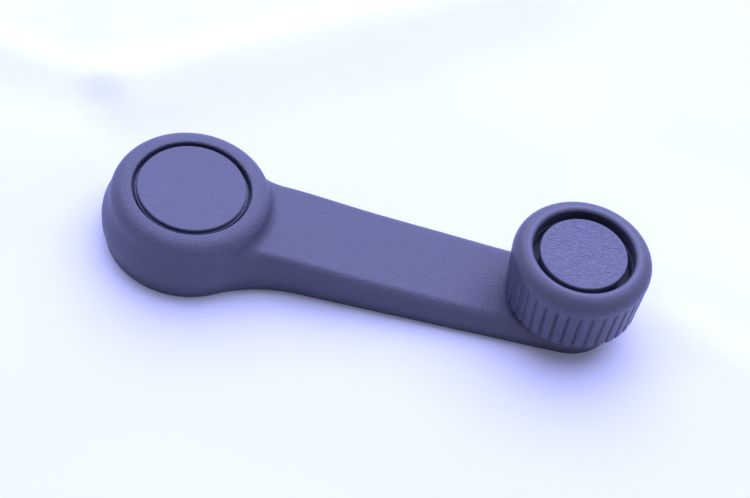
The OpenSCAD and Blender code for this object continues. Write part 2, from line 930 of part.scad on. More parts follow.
// The knob's section, turned once round
module knob_turned() {
    foot_chamfer = 0.35;
    squareness = 2.3;
    round_low = knob_top - knob_round_h;
    rotate_extrude()
        polygon(concat(
            [
                [bush_r, bush_flange_top],
                [tube_r, bush_flange_top],
                [tube_r, knob_web_low],
                [skirt_in_r, knob_web_low],
                [skirt_in_r, knob_foot_h],
                [knob_foot_r - foot_chamfer, knob_foot_h],
                [knob_foot_r, knob_foot_h + foot_chamfer]
            ],
            soft_corner(knob_r, round_low, knob_crest_r, knob_top, squareness, 8),
            [
                [knob_well_r + 0.5, knob_top - 0.15],
                [knob_well_r + 0.1, knob_top - 0.5],
                [knob_well_r, knob_top - 1],
                [knob_well_r, knob_web_top],
                [bush_r, knob_web_top]
            ]
        ));
}

// Grooves between the ribs: straight bars that lie along the tapering skirt
module knob_grooves() {
    groove_top = knob_top - knob_round_h - knob_band_h;
    rise = groove_top - knob_foot_h;
    lean = atan2(knob_r - knob_foot_r, knob_top - knob_round_h - knob_foot_h);
    for (i = [0 : knob_ribs - 1])
        rotate(360 * (i + 0.5) / knob_ribs)
            translate([knob_foot_r - groove_depth, 0, knob_foot_h])
                rotate([0, lean, 0])
                    translate([0, -groove_w / 2, -past])
                        cube([2, groove_w, rise + past]);
}

module knob_shell() {
    color(moulding_colour)
        translate([arm_l, 0, 0])
            difference() {
                knob_turned();
                knob_grooves();
                intersection() {
                    translate([0, 0, knob_web_low - past])
                        difference() {
                            cylinder(r = cap_slot_out_r, h = knob_web_t + 2 * past);
                            translate([0, 0, -past])
                                cylinder(r = cap_slot_in_r, h = knob_web_t + 4 * past);
                        }
                    rotate(45) four_legs(knob_well_r, 6, knob_web_low - 2 * past, knob_web_top + 2 * past);
                }
            }
}

module knob_cap() {
    edge = 0.25;
    skirt_in = cap_slot_out_r + 0.3;
    skirt_out = skirt_in + 0.9;
    leg_in = cap_slot_in_r + 0.1;
    leg_out = leg_in + 0.8;
    barb = 0.7;
    barb_low = knob_web_low - 1.1;
    leg_w = 5.4;
    color(cap_colour)
        translate([arm_l, 0, 0])
            union() {
                rotate_extrude()
                    polygon([
                        [0, knob_cap_low],
                        [skirt_in, knob_cap_low],
                        [skirt_in, knob_web_top],
                        [skirt_out, knob_web_top],
                        [skirt_out, knob_cap_low],
                        [knob_cap_r, knob_cap_low],
                        [knob_cap_r, knob_cap_top - edge],
                        [knob_cap_r - edge, knob_cap_top],
                        [0, knob_cap_top]
                    ]);
                intersection() {
                    rotate_extrude()
                        polygon([
                            [leg_in, knob_cap_low + 0.5],
                            [leg_in, barb_low],
                            [leg_out - 0.2, barb_low],
                            [leg_out + barb, knob_web_low - 0.5],
                            [leg_out + barb, knob_web_low - 0.1],
                            [leg_out, knob_web_low - 0.1],
                            [leg_out, knob_cap_low + 0.5]
                        ]);
                    rotate(45) four_legs(knob_well_r, leg_w, barb_low - past, knob_cap_low + 0.5);
                }
            }
}

upper_cover();
lower_cover();
cover_screws();
steel_arm();
spline_boss();
retaining_screw();
spring_washer();
plain_washer();
hub_cap();
knob_spindle();
rivet_washer();
lower_thrust_washer();
knob_bush();
knob_shell();
dished_washer();
upper_thrust_washer();
retaining_clip();
knob_cap();
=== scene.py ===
"""Looks of a moulded window crank handle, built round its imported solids."""

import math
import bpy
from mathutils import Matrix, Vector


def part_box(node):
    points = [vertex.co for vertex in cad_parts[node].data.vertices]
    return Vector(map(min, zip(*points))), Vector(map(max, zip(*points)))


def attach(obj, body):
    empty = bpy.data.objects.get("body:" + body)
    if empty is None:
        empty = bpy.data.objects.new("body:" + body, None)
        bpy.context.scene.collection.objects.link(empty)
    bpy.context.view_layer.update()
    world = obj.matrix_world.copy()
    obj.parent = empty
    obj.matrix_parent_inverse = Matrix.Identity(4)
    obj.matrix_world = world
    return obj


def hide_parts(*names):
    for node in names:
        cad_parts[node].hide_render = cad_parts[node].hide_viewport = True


bl_info = {
    "name": "Window Crank Handle",
    "version": (1, 0, 0),
    "blender": (4, 5, 0),
    "location": "View3D > Sidebar > Crank",
    "description": "Builds the moulded covers, the ribbed knob, the finishes and the stage of a window crank",
    "category": "Object",
}

import bmesh
import bpy
import numpy as np
from mathutils import Matrix, Vector

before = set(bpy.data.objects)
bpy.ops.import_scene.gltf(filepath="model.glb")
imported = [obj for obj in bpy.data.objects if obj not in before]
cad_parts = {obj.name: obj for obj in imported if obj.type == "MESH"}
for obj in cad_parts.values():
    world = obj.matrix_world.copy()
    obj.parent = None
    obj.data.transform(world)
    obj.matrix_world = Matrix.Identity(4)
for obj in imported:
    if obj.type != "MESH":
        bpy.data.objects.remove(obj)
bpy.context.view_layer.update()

# Shapes are worked out in millimetres and turned to metres in their mesh.
# The lamp and the camera are placed in metres.
MM = 0.001


def node_box(name):
    """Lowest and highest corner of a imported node, in millimetres."""
    low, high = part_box(name)
    return np.array(low) / MM, np.array(high) / MM


KNOB_LOW, KNOB_HIGH = node_box("knob_shell")
KNOB_X = float(KNOB_LOW[0] + KNOB_HIGH[0]) / 2
KNOB_FOOT = float(KNOB_LOW[2])
KNOB_TOP = float(KNOB_HIGH[2])
KNOB_CAP_RADIUS = float(node_box("knob_cap")[1][0]) - KNOB_X
HUB_TOP = float(node_box("hub_cap")[1][2])


def linear(code):
    """An sRGB hex colour as linear red, green and blue."""
    parts = [int(code[i : i + 2], 16) / 255 for i in (1, 3, 5)]
    return tuple(c / 12.92 if c <= 0.04045 else ((c + 0.055) / 1.055) ** 2.4 for c in parts)


def size(name, words, value, low=0.0, high=200.0):
    """A length property in millimetres."""
    return bpy.props.FloatProperty(name=name, description=words, default=value, min=low, max=high)


def colour(name, words, code):
    """A colour property, written as an sRGB hex code."""
    return bpy.props.FloatVectorProperty(
        name=name, description=words, default=linear(code), subtype="COLOR", size=3, min=0.0, max=1.0
    )


class CoverSizes(bpy.types.PropertyGroup):
    """Sizes of the two moulded covers, in millimetres."""

    arm_length: size("Arm length", "From the spindle axis to the knob axis", KNOB_X)
    hub_wall: size("Hub radius", "Radius of the hub just over the seam", 23.2)
    hub_foot: size("Foot radius", "Radius of the lower cover round the hub", 22.0)
    hub_height: size("Hub height", "Height of the hub's rim by the cap", HUB_TOP)
    shoulder_radius: size("Shoulder radius", "Radius of the hub where its shoulder starts", 21.9)
    shoulder_height: size("Shoulder height", "Height at which the hub's shoulder starts", 14.2)
    well: size("Well radius", "Radius of the recess that the hub cap sits in", 16.1)
    well_depth: size("Well depth", "Depth of that recess", 3.0)
    well_round: size("Well round", "Radius of the round at that recess's mouth", 0.5)
    seam_hub: size("Seam at the hub", "Height of the seam between the covers at the hub", 4.9)
    seam_end: size("Seam at the knob", "Height of the seam under the knob", 2.9)
    seam_step: size("Seam step", "How far the upper cover's edge stands out at the seam", 0.15)
    arm_foot_half: size("Foot half width", "Half width of the lower cover where the arm starts", 12.3)
    arm_seam_half: size("Seam half width", "Half width of the upper cover at the seam", 13.5)
    arm_top_half: size("Top half width", "Half width of the arm's top before its edges are rounded", 13.7)
    end_foot: size("Foot end radius", "Radius of the lower cover's round end", 13.6)
    end_seam: size("Seam end radius", "Radius of the upper cover's round end at the seam", 14.3)
    end_top: size("Top end radius", "Radius of the arm's round end at its top", 12.0)
    arm_edge: size("Arm edge", "Radius of the arm's top edges", 2.1)
    foot_fillet: size("Foot fillet", "Plan radius between hub and arm at the foot", 40.0)
    top_fillet: size("Top fillet", "Plan radius between hub and arm at the top", 12.0)
    neck_fillet: size("Neck fillet", "Radius between the arm's top and the hub's wall", 2.6)
    wall: size("Wall", "Wall thickness of the upper cover", 2.3)
    floor: size("Floor", "Thickness of the lower cover's floor", 1.6)
    boss: size("End boss", "Radius of the boss under the knob", 9.0)
    boss_height: size("End boss height", "Height of that boss over the foot", 8.0)
    pitch: size("Detail", "Spacing of the grid that the covers are carved on", 0.5, 0.3, 2.0)


class KnobSizes(bpy.types.PropertyGroup):
    """Sizes of the turning knob, in millimetres."""

    ribs: bpy.props.IntProperty(name="Ribs", description="Ribs round the skirt", default=36, min=12, max=72)
    groove_width: size("Groove width", "Width of the groove between two ribs", 1.0)
    groove_depth: size("Groove depth", "Depth of that groove", 0.55)
    foot_radius: size("Foot radius", "Radius of the skirt at its lower edge", 18.15)
    rim_radius: size("Rim radius", "Largest radius, just under the round rim", 19.09)
    crest_radius: size("Crest radius", "Radius at which the rim starts to fall outwards", 15.2)
    round_height: size("Round height", "Height of the round rim", 4.3)
    well: size("Well radius", "Radius of the recess round the knob cap", 13.95)
    turn: bpy.props.FloatProperty(
        name="Turn", description="How far the ribs are turned", default=math.radians(1.65), subtype="ANGLE"
    )


class CrankColours(bpy.types.PropertyGroup):
    """Colours of the plastics and the metals."""

    cover: colour("Covers", "Grained plastic of the covers", "#4f5067")
    cap: colour("Hub cap", "Fine grained plastic of the hub cap", "#56576f")
    knob: colour("Knob", "Smooth plastic of the knob", "#4a4b61")
    knob_cap: colour("Knob cap", "Leather grained plastic of the knob cap", "#5e5f78")
    nylon: colour("Nylon", "Natural nylon of the bearing pieces", "#e4dfce")
    zinc: colour("Zinc", "Zinc plated steel", "#c6c4b6")
    steel: colour("Steel", "Plain steel", "#b0b2b6")
    floor: colour("Floor", "Pale cloth under the crank", "#e8ebf2")


class StageSettings(bpy.types.PropertyGroup):
    """Camera and light."""

    focal: bpy.props.FloatProperty(
        name="Focal length", description="Focal length of the lens", default=124.8, subtype="DISTANCE_CAMERA"
    )
    key: bpy.props.FloatProperty(
        name="Key light", description="Power of the large light", default=295.0, unit="POWER"
    )
    sky: bpy.props.FloatProperty(
        name="Sky", description="Strength of the sky behind and over the crank", default=1.62
    )
    fill: bpy.props.FloatProperty(
        name="Fill", description="Strength of the weak light from the front", default=0.07
    )


# Fields: negative inside a body, positive outside, in millimetres.


def blend_out(a, b, k):
    """Intersection of two bodies with its edge rounded by k."""
    u = np.maximum(k + a, 0)
    v = np.maximum(k + b, 0)
    return np.minimum(-k, np.maximum(a, b)) + np.sqrt(u * u + v * v)


def blend_in(a, b, k):
    """Union of two bodies with its corner filled by k."""
    u = np.maximum(k - a, 0)
    v = np.maximum(k - b, 0)
    return np.maximum(k, np.minimum(a, b)) - np.sqrt(u * u + v * v)


def step(x, low, high):
    """Smooth step from 0 at low to 1 at high."""
    t = np.clip((x - low) / (high - low), 0, 1)
    return t * t * (3 - 2 * t)


def mix(a, b, t):
    """The value a share t of the way from a to b."""
    return a + (b - a) * t


def plan_distance(x, y, length, hub, half, end, fillet):
    """Distance to the outline seen from above: hub circle, fillets, sides and round end.

    half is the half width of the sides' line at the spindle axis, end the radius of the round end.
    """
    y = np.abs(y)
    a = np.arcsin(end / np.hypot(half, length)) - np.arctan2(half, length)
    along, across = np.cos(a), np.sin(a)
    # Distances along and across the side's straight line
    n = y * along - x * across
    s = x * along + y * across
    n_line = half * along
    side = np.maximum(n - n_line, -s)
    round_end = np.hypot(x - length, y) - end
    arm = np.where(s > length * along, round_end, side)
    circle = np.hypot(x, y) - hub
    # Fillet centre, on the outer side of the line and of the circle
    nc = n_line + fillet
    sc = np.sqrt(np.maximum((hub + fillet) ** 2 - nc * nc, 1e-6))
    hollow = fillet - np.hypot(s - sc, n - nc)
    by_fillet = (s > 0) & (s < sc) & (n * sc < s * nc)
    return np.where(by_fillet, hollow, np.minimum(arm, circle))


# A field is carved cell by cell to closed faces, with its sharp edges kept


# As a share of the pitch: how near to the ends of a grid edge a try for its crossing may come,
# and how far a point may lie outside its cell
CELL_MARGIN = 0.02


def carve(field, low, high, pitch):
    """Vertices in millimetres and quads of the surface where the field is zero."""
    counts = [int(math.ceil((h - l) / pitch)) + 1 for l, h in zip(low, high)]
    axes = [l + pitch * np.arange(n) for l, n in zip(low, counts)]
    grid = np.stack(np.meshgrid(*axes, indexing="ij"), -1)
    value = field(grid.reshape(-1, 3)).reshape(counts)
    inside = value < 0
    cell_counts = [n - 1 for n in counts]
    total = cell_counts[0] * cell_counts[1] * cell_counts[2]
    # Thirteen sums for each cell, as add_plane lists them
    sums = np.zeros((13, total))
    quads = []
    for axis in range(3):
        a = [slice(None)] * 3
        b = [slice(None)] * 3
        a[axis] = slice(0, -1)
        b[axis] = slice(1, None)
        crossing = inside[tuple(a)] != inside[tuple(b)]
        index = np.argwhere(crossing)
        start = np.array(low) + pitch * index
        along = np.zeros(3)
        along[axis] = pitch
        near = value[tuple(a)][crossing]
        far = value[tuple(b)][crossing]
        t0, t1 = np.zeros(len(index)), np.ones(len(index))
        # A few tries close in on the place where an edge of the grid crosses the surface
        tries = 4
        for _ in range(tries):
            t = t0 + (t1 - t0) * np.clip(near / (near - far), CELL_MARGIN, 1 - CELL_MARGIN)
            v = field(start + along * t[:, None])
            low_side = (v < 0) == (near < 0)
            t0, near = np.where(low_side, t, t0), np.where(low_side, v, near)
            t1, far = np.where(low_side, t1, t), np.where(low_side, far, v)
        t = t0 + (t1 - t0) * np.clip(near / (near - far), 0, 1)
        point = start + along * t[:, None]
        normal = slope(field, point)
        p, q = [(1, 2), (2, 0), (0, 1)][axis]
        ok = (index[:, p] > 0) & (index[:, q] > 0)
        ok &= (index[:, p] < cell_counts[p]) & (index[:, q] < cell_counts[q])
        around = []
        for dp, dq in ((-1, -1), (0, -1), (0, 0), (-1, 0)):
            cell = index.copy()
            cell[:, p] += dp
            cell[:, q] += dq
            fits = np.all((cell >= 0) & (cell < cell_counts), axis=1)
            flat = np.ravel_multi_index(np.clip(cell, 0, np.array(cell_counts) - 1).T, cell_counts)
            around.append(flat)
            add_plane(sums, flat[fits], point[fits], normal[fits])
        quad = np.stack(around, 1)[ok]
        outward = inside[tuple(a)][crossing][ok]
        quad[~outward] = quad[~outward][:, ::-1]
        quads.append(quad)
    quads = np.concatenate(quads)
    used, quads = np.unique(quads, return_inverse=True)
    quads = quads.reshape(-1, 4)
    place = solve_cells(sums[:, used])
    corner = np.stack(np.unravel_index(used, cell_counts), 1) * pitch + np.array(low)
    place = np.clip(place, corner - CELL_MARGIN * pitch, corner + (1 + CELL_MARGIN) * pitch)
    return place, quads


def slope(field, point, h=0.01):
    """Unit gradient of the field at some points."""
    g = np.empty_like(point)
    for k in range(3):
        d = np.zeros(3)
        d[k] = h
        g[:, k] = field(point + d) - field(point - d)
    return g / np.maximum(np.linalg.norm(g, axis=1, keepdims=True), 1e-9)


def add_plane(sums, cells, point, normal):
    """Adds each crossing's tangent plane to the sums of its cell."""
    n = normal
    d = np.sum(n * point, axis=1)
    rows = [
        n[:, 0] * n[:, 0], n[:, 0] * n[:, 1], n[:, 0] * n[:, 2],
        n[:, 1] * n[:, 1], n[:, 1] * n[:, 2], n[:, 2] * n[:, 2],
        n[:, 0] * d, n[:, 1] * d, n[:, 2] * d,
        point[:, 0], point[:, 1], point[:, 2], np.ones(len(point)),
    ]
    for i, row in enumerate(rows):
        sums[i] += np.bincount(cells, row, minlength=sums.shape[1])


def solve_cells(s):
    """The point of each cell that lies best on all of its tangent planes."""
    count = s.shape[1]
    matrix = np.empty((count, 3, 3))
    matrix[:, 0, 0], matrix[:, 0, 1], matrix[:, 0, 2] = s[0], s[1], s[2]
    matrix[:, 1, 0], matrix[:, 1, 1], matrix[:, 1, 2] = s[1], s[3], s[4]
    matrix[:, 2, 0], matrix[:, 2, 1], matrix[:, 2, 2] = s[2], s[4], s[5]
    right = s[6:9].T
    middle = (s[9:12] / s[12]).T
    # A weak pull to the middle of its crossings keeps the point of a flat cell in place
    pull = 0.02
    hold = pull * s[12]
    matrix[:, [0, 1, 2], [0, 1, 2]] += hold[:, None]
    right = right + hold[:, None] * middle
    return np.linalg.solve(matrix, right[:, :, None])[:, :, 0]


def mesh_piece(name, points, faces, sharp=35.0):
    """A new object from points in millimetres, smooth but for edges over the sharp angle."""
    mesh = bpy.data.meshes.new(name)
    mesh.from_pydata((np.asarray(points) * MM).tolist(), [], [list(map(int, f)) for f in faces])
    mesh.validate()
    mesh.polygons.foreach_set("use_smooth", np.ones(len(mesh.polygons), dtype=bool))
    mesh.set_sharp_from_angle(angle=math.radians(sharp))
    piece = bpy.data.objects.new(name, mesh)
    bpy.context.scene.collection.objects.link(piece)
    return piece


# The covers


# Sizes inside the covers, in millimetres
SEAT_THICKNESS = 2.0
SEAT_OPENING = 12.4
RECESS_WALL = 0.5
TUBE_MIDDLE = 15.25
TUBE_HALF_WALL = 0.75
BOSS_FOOT = 4.4
SPINDLE_WAY = 6.3
SOCKET_WAY = 9.8
POST_RADIUS = 2.9
PILOT_RADIUS = 1.5
PILOT_TOP = 7.7
TRAY_WALL = 2.8
TOWER_RADIUS = 3.9
SCREW_HEAD_RADIUS = 3.1
SCREW_HEAD_DEPTH = 2.0
SHANK_WAY = 1.6
PAD_HALF_WIDTH = 7.6
PAD_HALF_LENGTH = 3.0
PAD_TOP = 2.2
# Where the pads under the steel arm start, as shares of the arm's length
PAD_PLACES = (0.24, 0.45, 0.75)


def seam_height(z, x):
    """Height of the seam over the foot at a distance x along the arm."""
    bend = z.hub_foot * 0.35
    rate = (z.seam_end - z.seam_hub) / (z.arm_length - bend)
    return z.seam_hub + rate * np.maximum(x - bend, 0)


# Heights of the arm's top, as fractions of the arm's length and millimetres over the foot
TOP_PLACES = (0.0, 0.2, 0.28, 0.34, 0.39, 0.47, 0.575, 0.65, 0.725, 0.81, 0.9, 1.2)
TOP_HEIGHTS = (14.2, 13.75, 13.25, 12.45, 11.75, 10.75, 9.8, 9.15, 8.4, 7.5, 7.0, 6.9)


def top_height(z, x):
    """Height of the arm's top, a soft curve through the stations above."""
    behind, beyond, spacing, reach = -20.0, 1.3, 0.5, 12
    fine = np.arange(behind, z.arm_length * beyond, spacing)
    line = np.interp(fine / z.arm_length, TOP_PLACES, TOP_HEIGHTS)
    weights = np.hanning(2 * reach + 1)
    padded = np.pad(line, reach, mode="edge")
    return np.interp(x, fine, np.convolve(padded, weights / weights.sum(), mode="valid"))


def hub_wall_radius(z, height):
    """Radius of the hub's wall: it swells a little over the seam and draws in below the shoulder."""
    bulge, bulge_rise, draw_start, draw_past = 0.2, 2.6, 8.0, 0.4
    swell = bulge * step(height, z.seam_hub, z.seam_hub + bulge_rise)
    draw = step(height, draw_start, z.shoulder_height + draw_past)
    return z.hub_wall + swell - (z.hub_wall + bulge - z.shoulder_radius) * draw


def hub_outside(z, r, h):
    """The hub's wall with a soft square shoulder up to the rim by the cap."""
    squareness = 2.5
    land = 0.25
    rim = z.well + land
    rise = z.hub_height - z.shoulder_height
    wall = hub_wall_radius(z, h)
    u = np.maximum((r - rim) / (wall - rim), 0)
    w = np.maximum((h - z.shoulder_height) / rise, 0)
    shoulder = ((u**squareness + w**squareness) ** (1 / squareness) - 1) * rise
    return np.where(h > z.shoulder_height, shoulder, r - wall)


def upper_outside(z, p):
    """Outside of the upper cover, without its recess and its room."""
    x, y, h = p[:, 0], p[:, 1], p[:, 2]
    r = np.hypot(x, y)
    hub = hub_outside(z, r, h)
    seam = seam_height(z, x)
    top = top_height(z, x)
    t = np.clip((h - seam) / (top - seam), -0.2, 1.1)
    # The hub in the plan's outline lies just inside the hub itself
    inset = 0.02
    wall = plan_distance(
        x, y, z.arm_length, hub_wall_radius(z, h) - inset, mix(z.arm_seam_half, z.arm_top_half, t),
        mix(z.end_seam, z.end_top, t), mix(z.foot_fillet, z.top_fillet, np.clip(t, 0, 1)),
    )
    # The top runs up the hub's wall in a small fillet, inside the outline seen from above
    cover = blend_in(h - top, hub, z.neck_fillet)
    return np.minimum(hub, blend_out(wall, cover, z.arm_edge))


def upper_field(z, p):
    """The upper cover: a shell with the cap's recess and the boss under the knob."""
    x, y, h = p[:, 0], p[:, 1], p[:, 2]
    r = np.hypot(x, y)
    end = np.hypot(x - z.arm_length, y)
    screws = screw_distance(p)
    out = upper_outside(z, p)
    seam = seam_height(z, x)
    seat = z.hub_height - z.well_depth
    seat_low = seat - SEAT_THICKNESS
    # Room inside, which the steel arm, the boss and the screws fill
    room = out + z.wall
    rim = np.maximum(r - z.well - RECESS_WALL, seat_low - h)
    tube = np.maximum(np.abs(r - TUBE_MIDDLE) - TUBE_HALF_WALL, h - seat)
    room = np.maximum(room, -np.minimum(np.minimum(rim, tube), screws - POST_RADIUS))
    # Recess for the hub cap, with a soft mouth, and its seat
    mouth = blend_out(out, z.well - r, z.well_round)
    seat_disc = np.maximum(out, h - seat)
    body = np.maximum(np.minimum(mouth, seat_disc), -room)
    boss = np.maximum(end - z.boss, np.maximum(h - z.boss_height, BOSS_FOOT - h))
    body = np.minimum(body, boss)
    # The way to the retaining screw, the spindle's way under the knob and the cover screws' holes
    past = 0.5
    holes = np.maximum(r - SEAT_OPENING, seat_low - past - h)
    holes = np.minimum(holes, end - SPINDLE_WAY)
    holes = np.minimum(holes, np.maximum(screws - PILOT_RADIUS, h - PILOT_TOP))
    body = np.maximum(body, -holes)
    return np.maximum(body, np.where(end < z.boss, np.minimum(BOSS_FOOT, seam), seam) - h)


def lower_field(z, p):
    """The lower cover: a shallow tray with the towers for the screws and the pads for the steel arm."""
    x, y, h = p[:, 0], p[:, 1], p[:, 2]
    r = np.hypot(x, y)
    end = np.hypot(x - z.arm_length, y)
    screws = screw_distance(p)
    seam = seam_height(z, x)
    # The sides lean out from the foot to just inside the upper cover's edge
    t = np.clip(h / seam, 0, 1)
    foot = plan_distance(
        x, y, z.arm_length, mix(z.hub_foot, z.hub_wall - z.seam_step, t),
        mix(z.arm_foot_half, z.arm_seam_half - z.seam_step, t),
        mix(z.end_foot, z.end_seam - z.seam_step, t), z.foot_fillet,
    )
    tray = np.maximum(foot, np.maximum(-h, h - seam))
    room = np.maximum(foot + TRAY_WALL, z.floor - h)
    towers = screws - TOWER_RADIUS
    pads = np.maximum(np.abs(y) - PAD_HALF_WIDTH, h - PAD_TOP)
    for place in PAD_PLACES:
        along = np.abs(x - z.arm_length * place - PAD_HALF_LENGTH) - PAD_HALF_LENGTH
        towers = np.minimum(towers, np.maximum(pads, along))
    body = np.maximum(tray, -np.maximum(room, -towers))
    holes = np.minimum(r - SOCKET_WAY, end - SPINDLE_WAY)
    heads = np.maximum(screws - SCREW_HEAD_RADIUS, h - SCREW_HEAD_DEPTH)
    holes = np.minimum(holes, np.minimum(heads, screws - SHANK_WAY))
    return np.maximum(body, -holes)


def screw_distance(p):
    """Distance to the nearest cover screw's axis."""
    low, high = node_box("cover_screws")
    reach = 2.8
    hub_x, hub_y = low[0] + reach, high[1] - reach
    arm_x = high[0] - reach
    to_hub = np.hypot(p[:, 0] - hub_x, np.abs(p[:, 1]) - hub_y)
    return np.minimum(to_hub, np.hypot(p[:, 0] - arm_x, p[:, 1]))


class CRANK_OT_upper_cover(bpy.types.Operator):
    """Carve the upper cover with its hub, neck and sloping arm"""

    bl_idname = "crank.upper_cover"
    bl_label = "Upper Cover"

    def execute(self, context):
        z = context.scene.crank_covers
        margin = 1.0
        low = (-z.hub_wall - margin, -z.hub_wall - margin, z.seam_end - margin)
        high = (z.arm_length + z.end_seam + margin, z.hub_wall + margin, z.hub_height + margin)
        points, quads = carve(lambda p: upper_field(z, p), low, high, z.pitch)
        piece = mesh_piece("Upper_Cover", points, quads)
        piece.data.materials.append(grained_plastic())
        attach(piece, "crank")
        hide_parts("upper_cover")
        return {"FINISHED"}


class CRANK_OT_lower_cover(bpy.types.Operator):
    """Carve the lower cover that shows as the band under the seam"""

    bl_idname = "crank.lower_cover"
    bl_label = "Lower Cover"

    def execute(self, context):
        z = context.scene.crank_covers
        # The grid starts so far below the foot that the foot's plane falls between two of its lines
        margin, below = 1.0, 1.25
        low = (-z.hub_wall - margin, -z.hub_wall - margin, -below)
        high = (z.arm_length + z.end_seam + margin, z.hub_wall + margin, z.seam_hub + margin)
        points, quads = carve(lambda p: lower_field(z, p), low, high, z.pitch)
        # The foot is made quite flat
        nearly_flat = 0.04
        points[points[:, 2] < nearly_flat, 2] = 0
        piece = mesh_piece("Lower_Cover", points, quads)
        piece.data.materials.append(grained_plastic())
        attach(piece, "crank")
        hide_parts("lower_cover")
        return {"FINISHED"}


# The knob


def knob_section(k):
    """Closed section of the knob as points (radius, height), outer foot first, and the count on its skirt."""
    skirt_steps, rim_steps, lip_steps = 15, 18, 6
    foot_edge, foot_corner = 0.35, 0.1
    round_low = KNOB_TOP - k.round_height
    skirt = []
    for i in range(skirt_steps):
        t = i / skirt_steps
        skirt.append((mix(k.foot_radius, k.rim_radius, t), mix(KNOB_FOOT + foot_edge, round_low, t)))
    rim = []
    power = 2 / 2.2
    most_fall = 0.6
    for i in range(rim_steps + 1):
        t = math.pi / 2 * i / rim_steps
        out = math.cos(t) ** power
        # The rim falls away from its crest at once, and then turns into the skirt
        fall = most_fall * out * (1 - out**3)
        height = round_low + k.round_height * math.sin(t) ** power - fall
        rim.append((k.crest_radius + (k.rim_radius - k.crest_radius) * out, height))
    lip = []
    lip_round = 0.85
    lip_top = KNOB_TOP - 0.06
    for i in range(lip_steps + 1):
        t = math.pi / 2 * i / lip_steps
        height = lip_top - lip_round + lip_round * math.cos(t)
        lip.append((k.well + lip_round - lip_round * math.sin(t), height))
    ledge_in, ledge_corner = 0.15, 0.05
    ledge, ledge_top = k.well - ledge_in, KNOB_TOP - 4.4
    web_top, web_low = KNOB_TOP - 8.5, KNOB_TOP - 10.5
    tube_low, tube_in, tube_out, skirt_in = 9.8, 5.95, 7.95, 15.9
    inside = [
        (k.well - ledge_corner, ledge_top + ledge_corner), (ledge, ledge_top), (ledge, web_top),
        (tube_in, web_top), (tube_in, tube_low), (tube_out, tube_low), (tube_out, web_low),
        (skirt_in, web_low), (skirt_in, KNOB_FOOT),
        (k.foot_radius - foot_edge, KNOB_FOOT), (k.foot_radius - foot_corner, KNOB_FOOT + foot_corner),
    ]
    return skirt + rim + lip + inside, len(skirt)


# Lines of a rib's sector, as shares of half a groove
GROOVE_LINES = (0.0, 0.12, 0.3, 0.5, 0.7, 0.85, 0.95, 1.05, 1.25)
# Further lines, as shares of the way from there to the rib's middle
RIB_LINES = (0.2, 0.55, 1.0)


def knob_sector(k):
    """One rib's share of the knob, with half a groove on either side."""
    section, skirt_count = knob_section(k)
    half = math.pi / k.ribs
    groove = k.groove_width / 2 / k.foot_radius
    angles = [groove * s for s in GROOVE_LINES]
    last = angles[-1]
    angles += [last + (half - last) * s for s in RIB_LINES]
    angles = [a - half for a in angles]
    angles += [-a for a in reversed(angles[:-1])]
    # The grooves fade out below the round rim
    band, fade_height = 0.6, 0.9
    groove_top = KNOB_TOP - k.round_height - band
    # A narrow V with a small round at its bottom, and a rib that is crowned a little
    bottom_round, crown_depth = 0.08, 0.08
    foot_start = len(section) - 2
    points = []
    for angle in angles:
        off = half - abs(angle)
        cut = max(0.0, 1 + bottom_round - math.hypot(off / groove, bottom_round))
        crown = crown_depth * ((half - off) / half) ** 2
        for i, (radius, height) in enumerate(section):
            depth = 0.0
            if i >= foot_start:
                depth = cut * k.groove_depth
            elif i < skirt_count:
                fade = 1 - float(step(height, groove_top - fade_height, groove_top))
                depth = (cut * k.groove_depth + (1 - cut) * crown) * fade
            r = radius - depth
            points.append((r * math.cos(angle + k.turn), r * math.sin(angle + k.turn), height))
    n = len(section)
    faces = []
    for c in range(len(angles) - 1):
        for i in range(n):
            j = (i + 1) % n
            faces.append((c * n + i, (c + 1) * n + i, (c + 1) * n + j, c * n + j))
    return points, faces


def ring_tree(material):
    """Geometry nodes that repeat a sector round the Z axis and weld it to one body."""
    tree = bpy.data.node_groups.new("Sector_Ring", "GeometryNodeTree")
    face = tree.interface
    face.new_socket("Geometry", in_out="INPUT", socket_type="NodeSocketGeometry")
    face.new_socket("Count", in_out="INPUT", socket_type="NodeSocketInt")
    face.new_socket("Centre", in_out="INPUT", socket_type="NodeSocketVector")
    face.new_socket("Weld Distance", in_out="INPUT", socket_type="NodeSocketFloat")
    face.new_socket("Geometry", in_out="OUTPUT", socket_type="NodeSocketGeometry")
    source = add(tree, "NodeGroupInput")
    count = source.outputs["Count"]
    turn = add(tree, "ShaderNodeMath", {"operation": "DIVIDE"}, {0: math.tau, 1: count})
    spots = add(tree, "GeometryNodeMeshLine", {}, {"Count": count, "Offset": (0.0, 0.0, 0.0)})
    index = add(tree, "GeometryNodeInputIndex")
    angle = add(tree, "ShaderNodeMath", {"operation": "MULTIPLY"}, {0: index.outputs[0], 1: turn.outputs[0]})
    spin = add(tree, "ShaderNodeCombineXYZ", {}, {"Z": angle.outputs[0]})
    ring = add(
        tree, "GeometryNodeInstanceOnPoints", {},
        {"Points": spots.outputs[0], "Instance": source.outputs["Geometry"], "Rotation": spin.outputs[0]},
    )
    real = add(tree, "GeometryNodeRealizeInstances", {}, {0: ring.outputs[0]})
    weld = add(
        tree, "GeometryNodeMergeByDistance", {},
        {"Geometry": real.outputs[0], "Distance": source.outputs["Weld Distance"]},
    )
    place = add(
        tree, "GeometryNodeTransform", {},
        {"Geometry": weld.outputs[0], "Translation": source.outputs["Centre"]},
    )
    dress = add(tree, "GeometryNodeSetMaterial", {}, {"Geometry": place.outputs[0], "Material": material})
    add(tree, "NodeGroupOutput", {}, {0: dress.outputs[0]})
    return tree


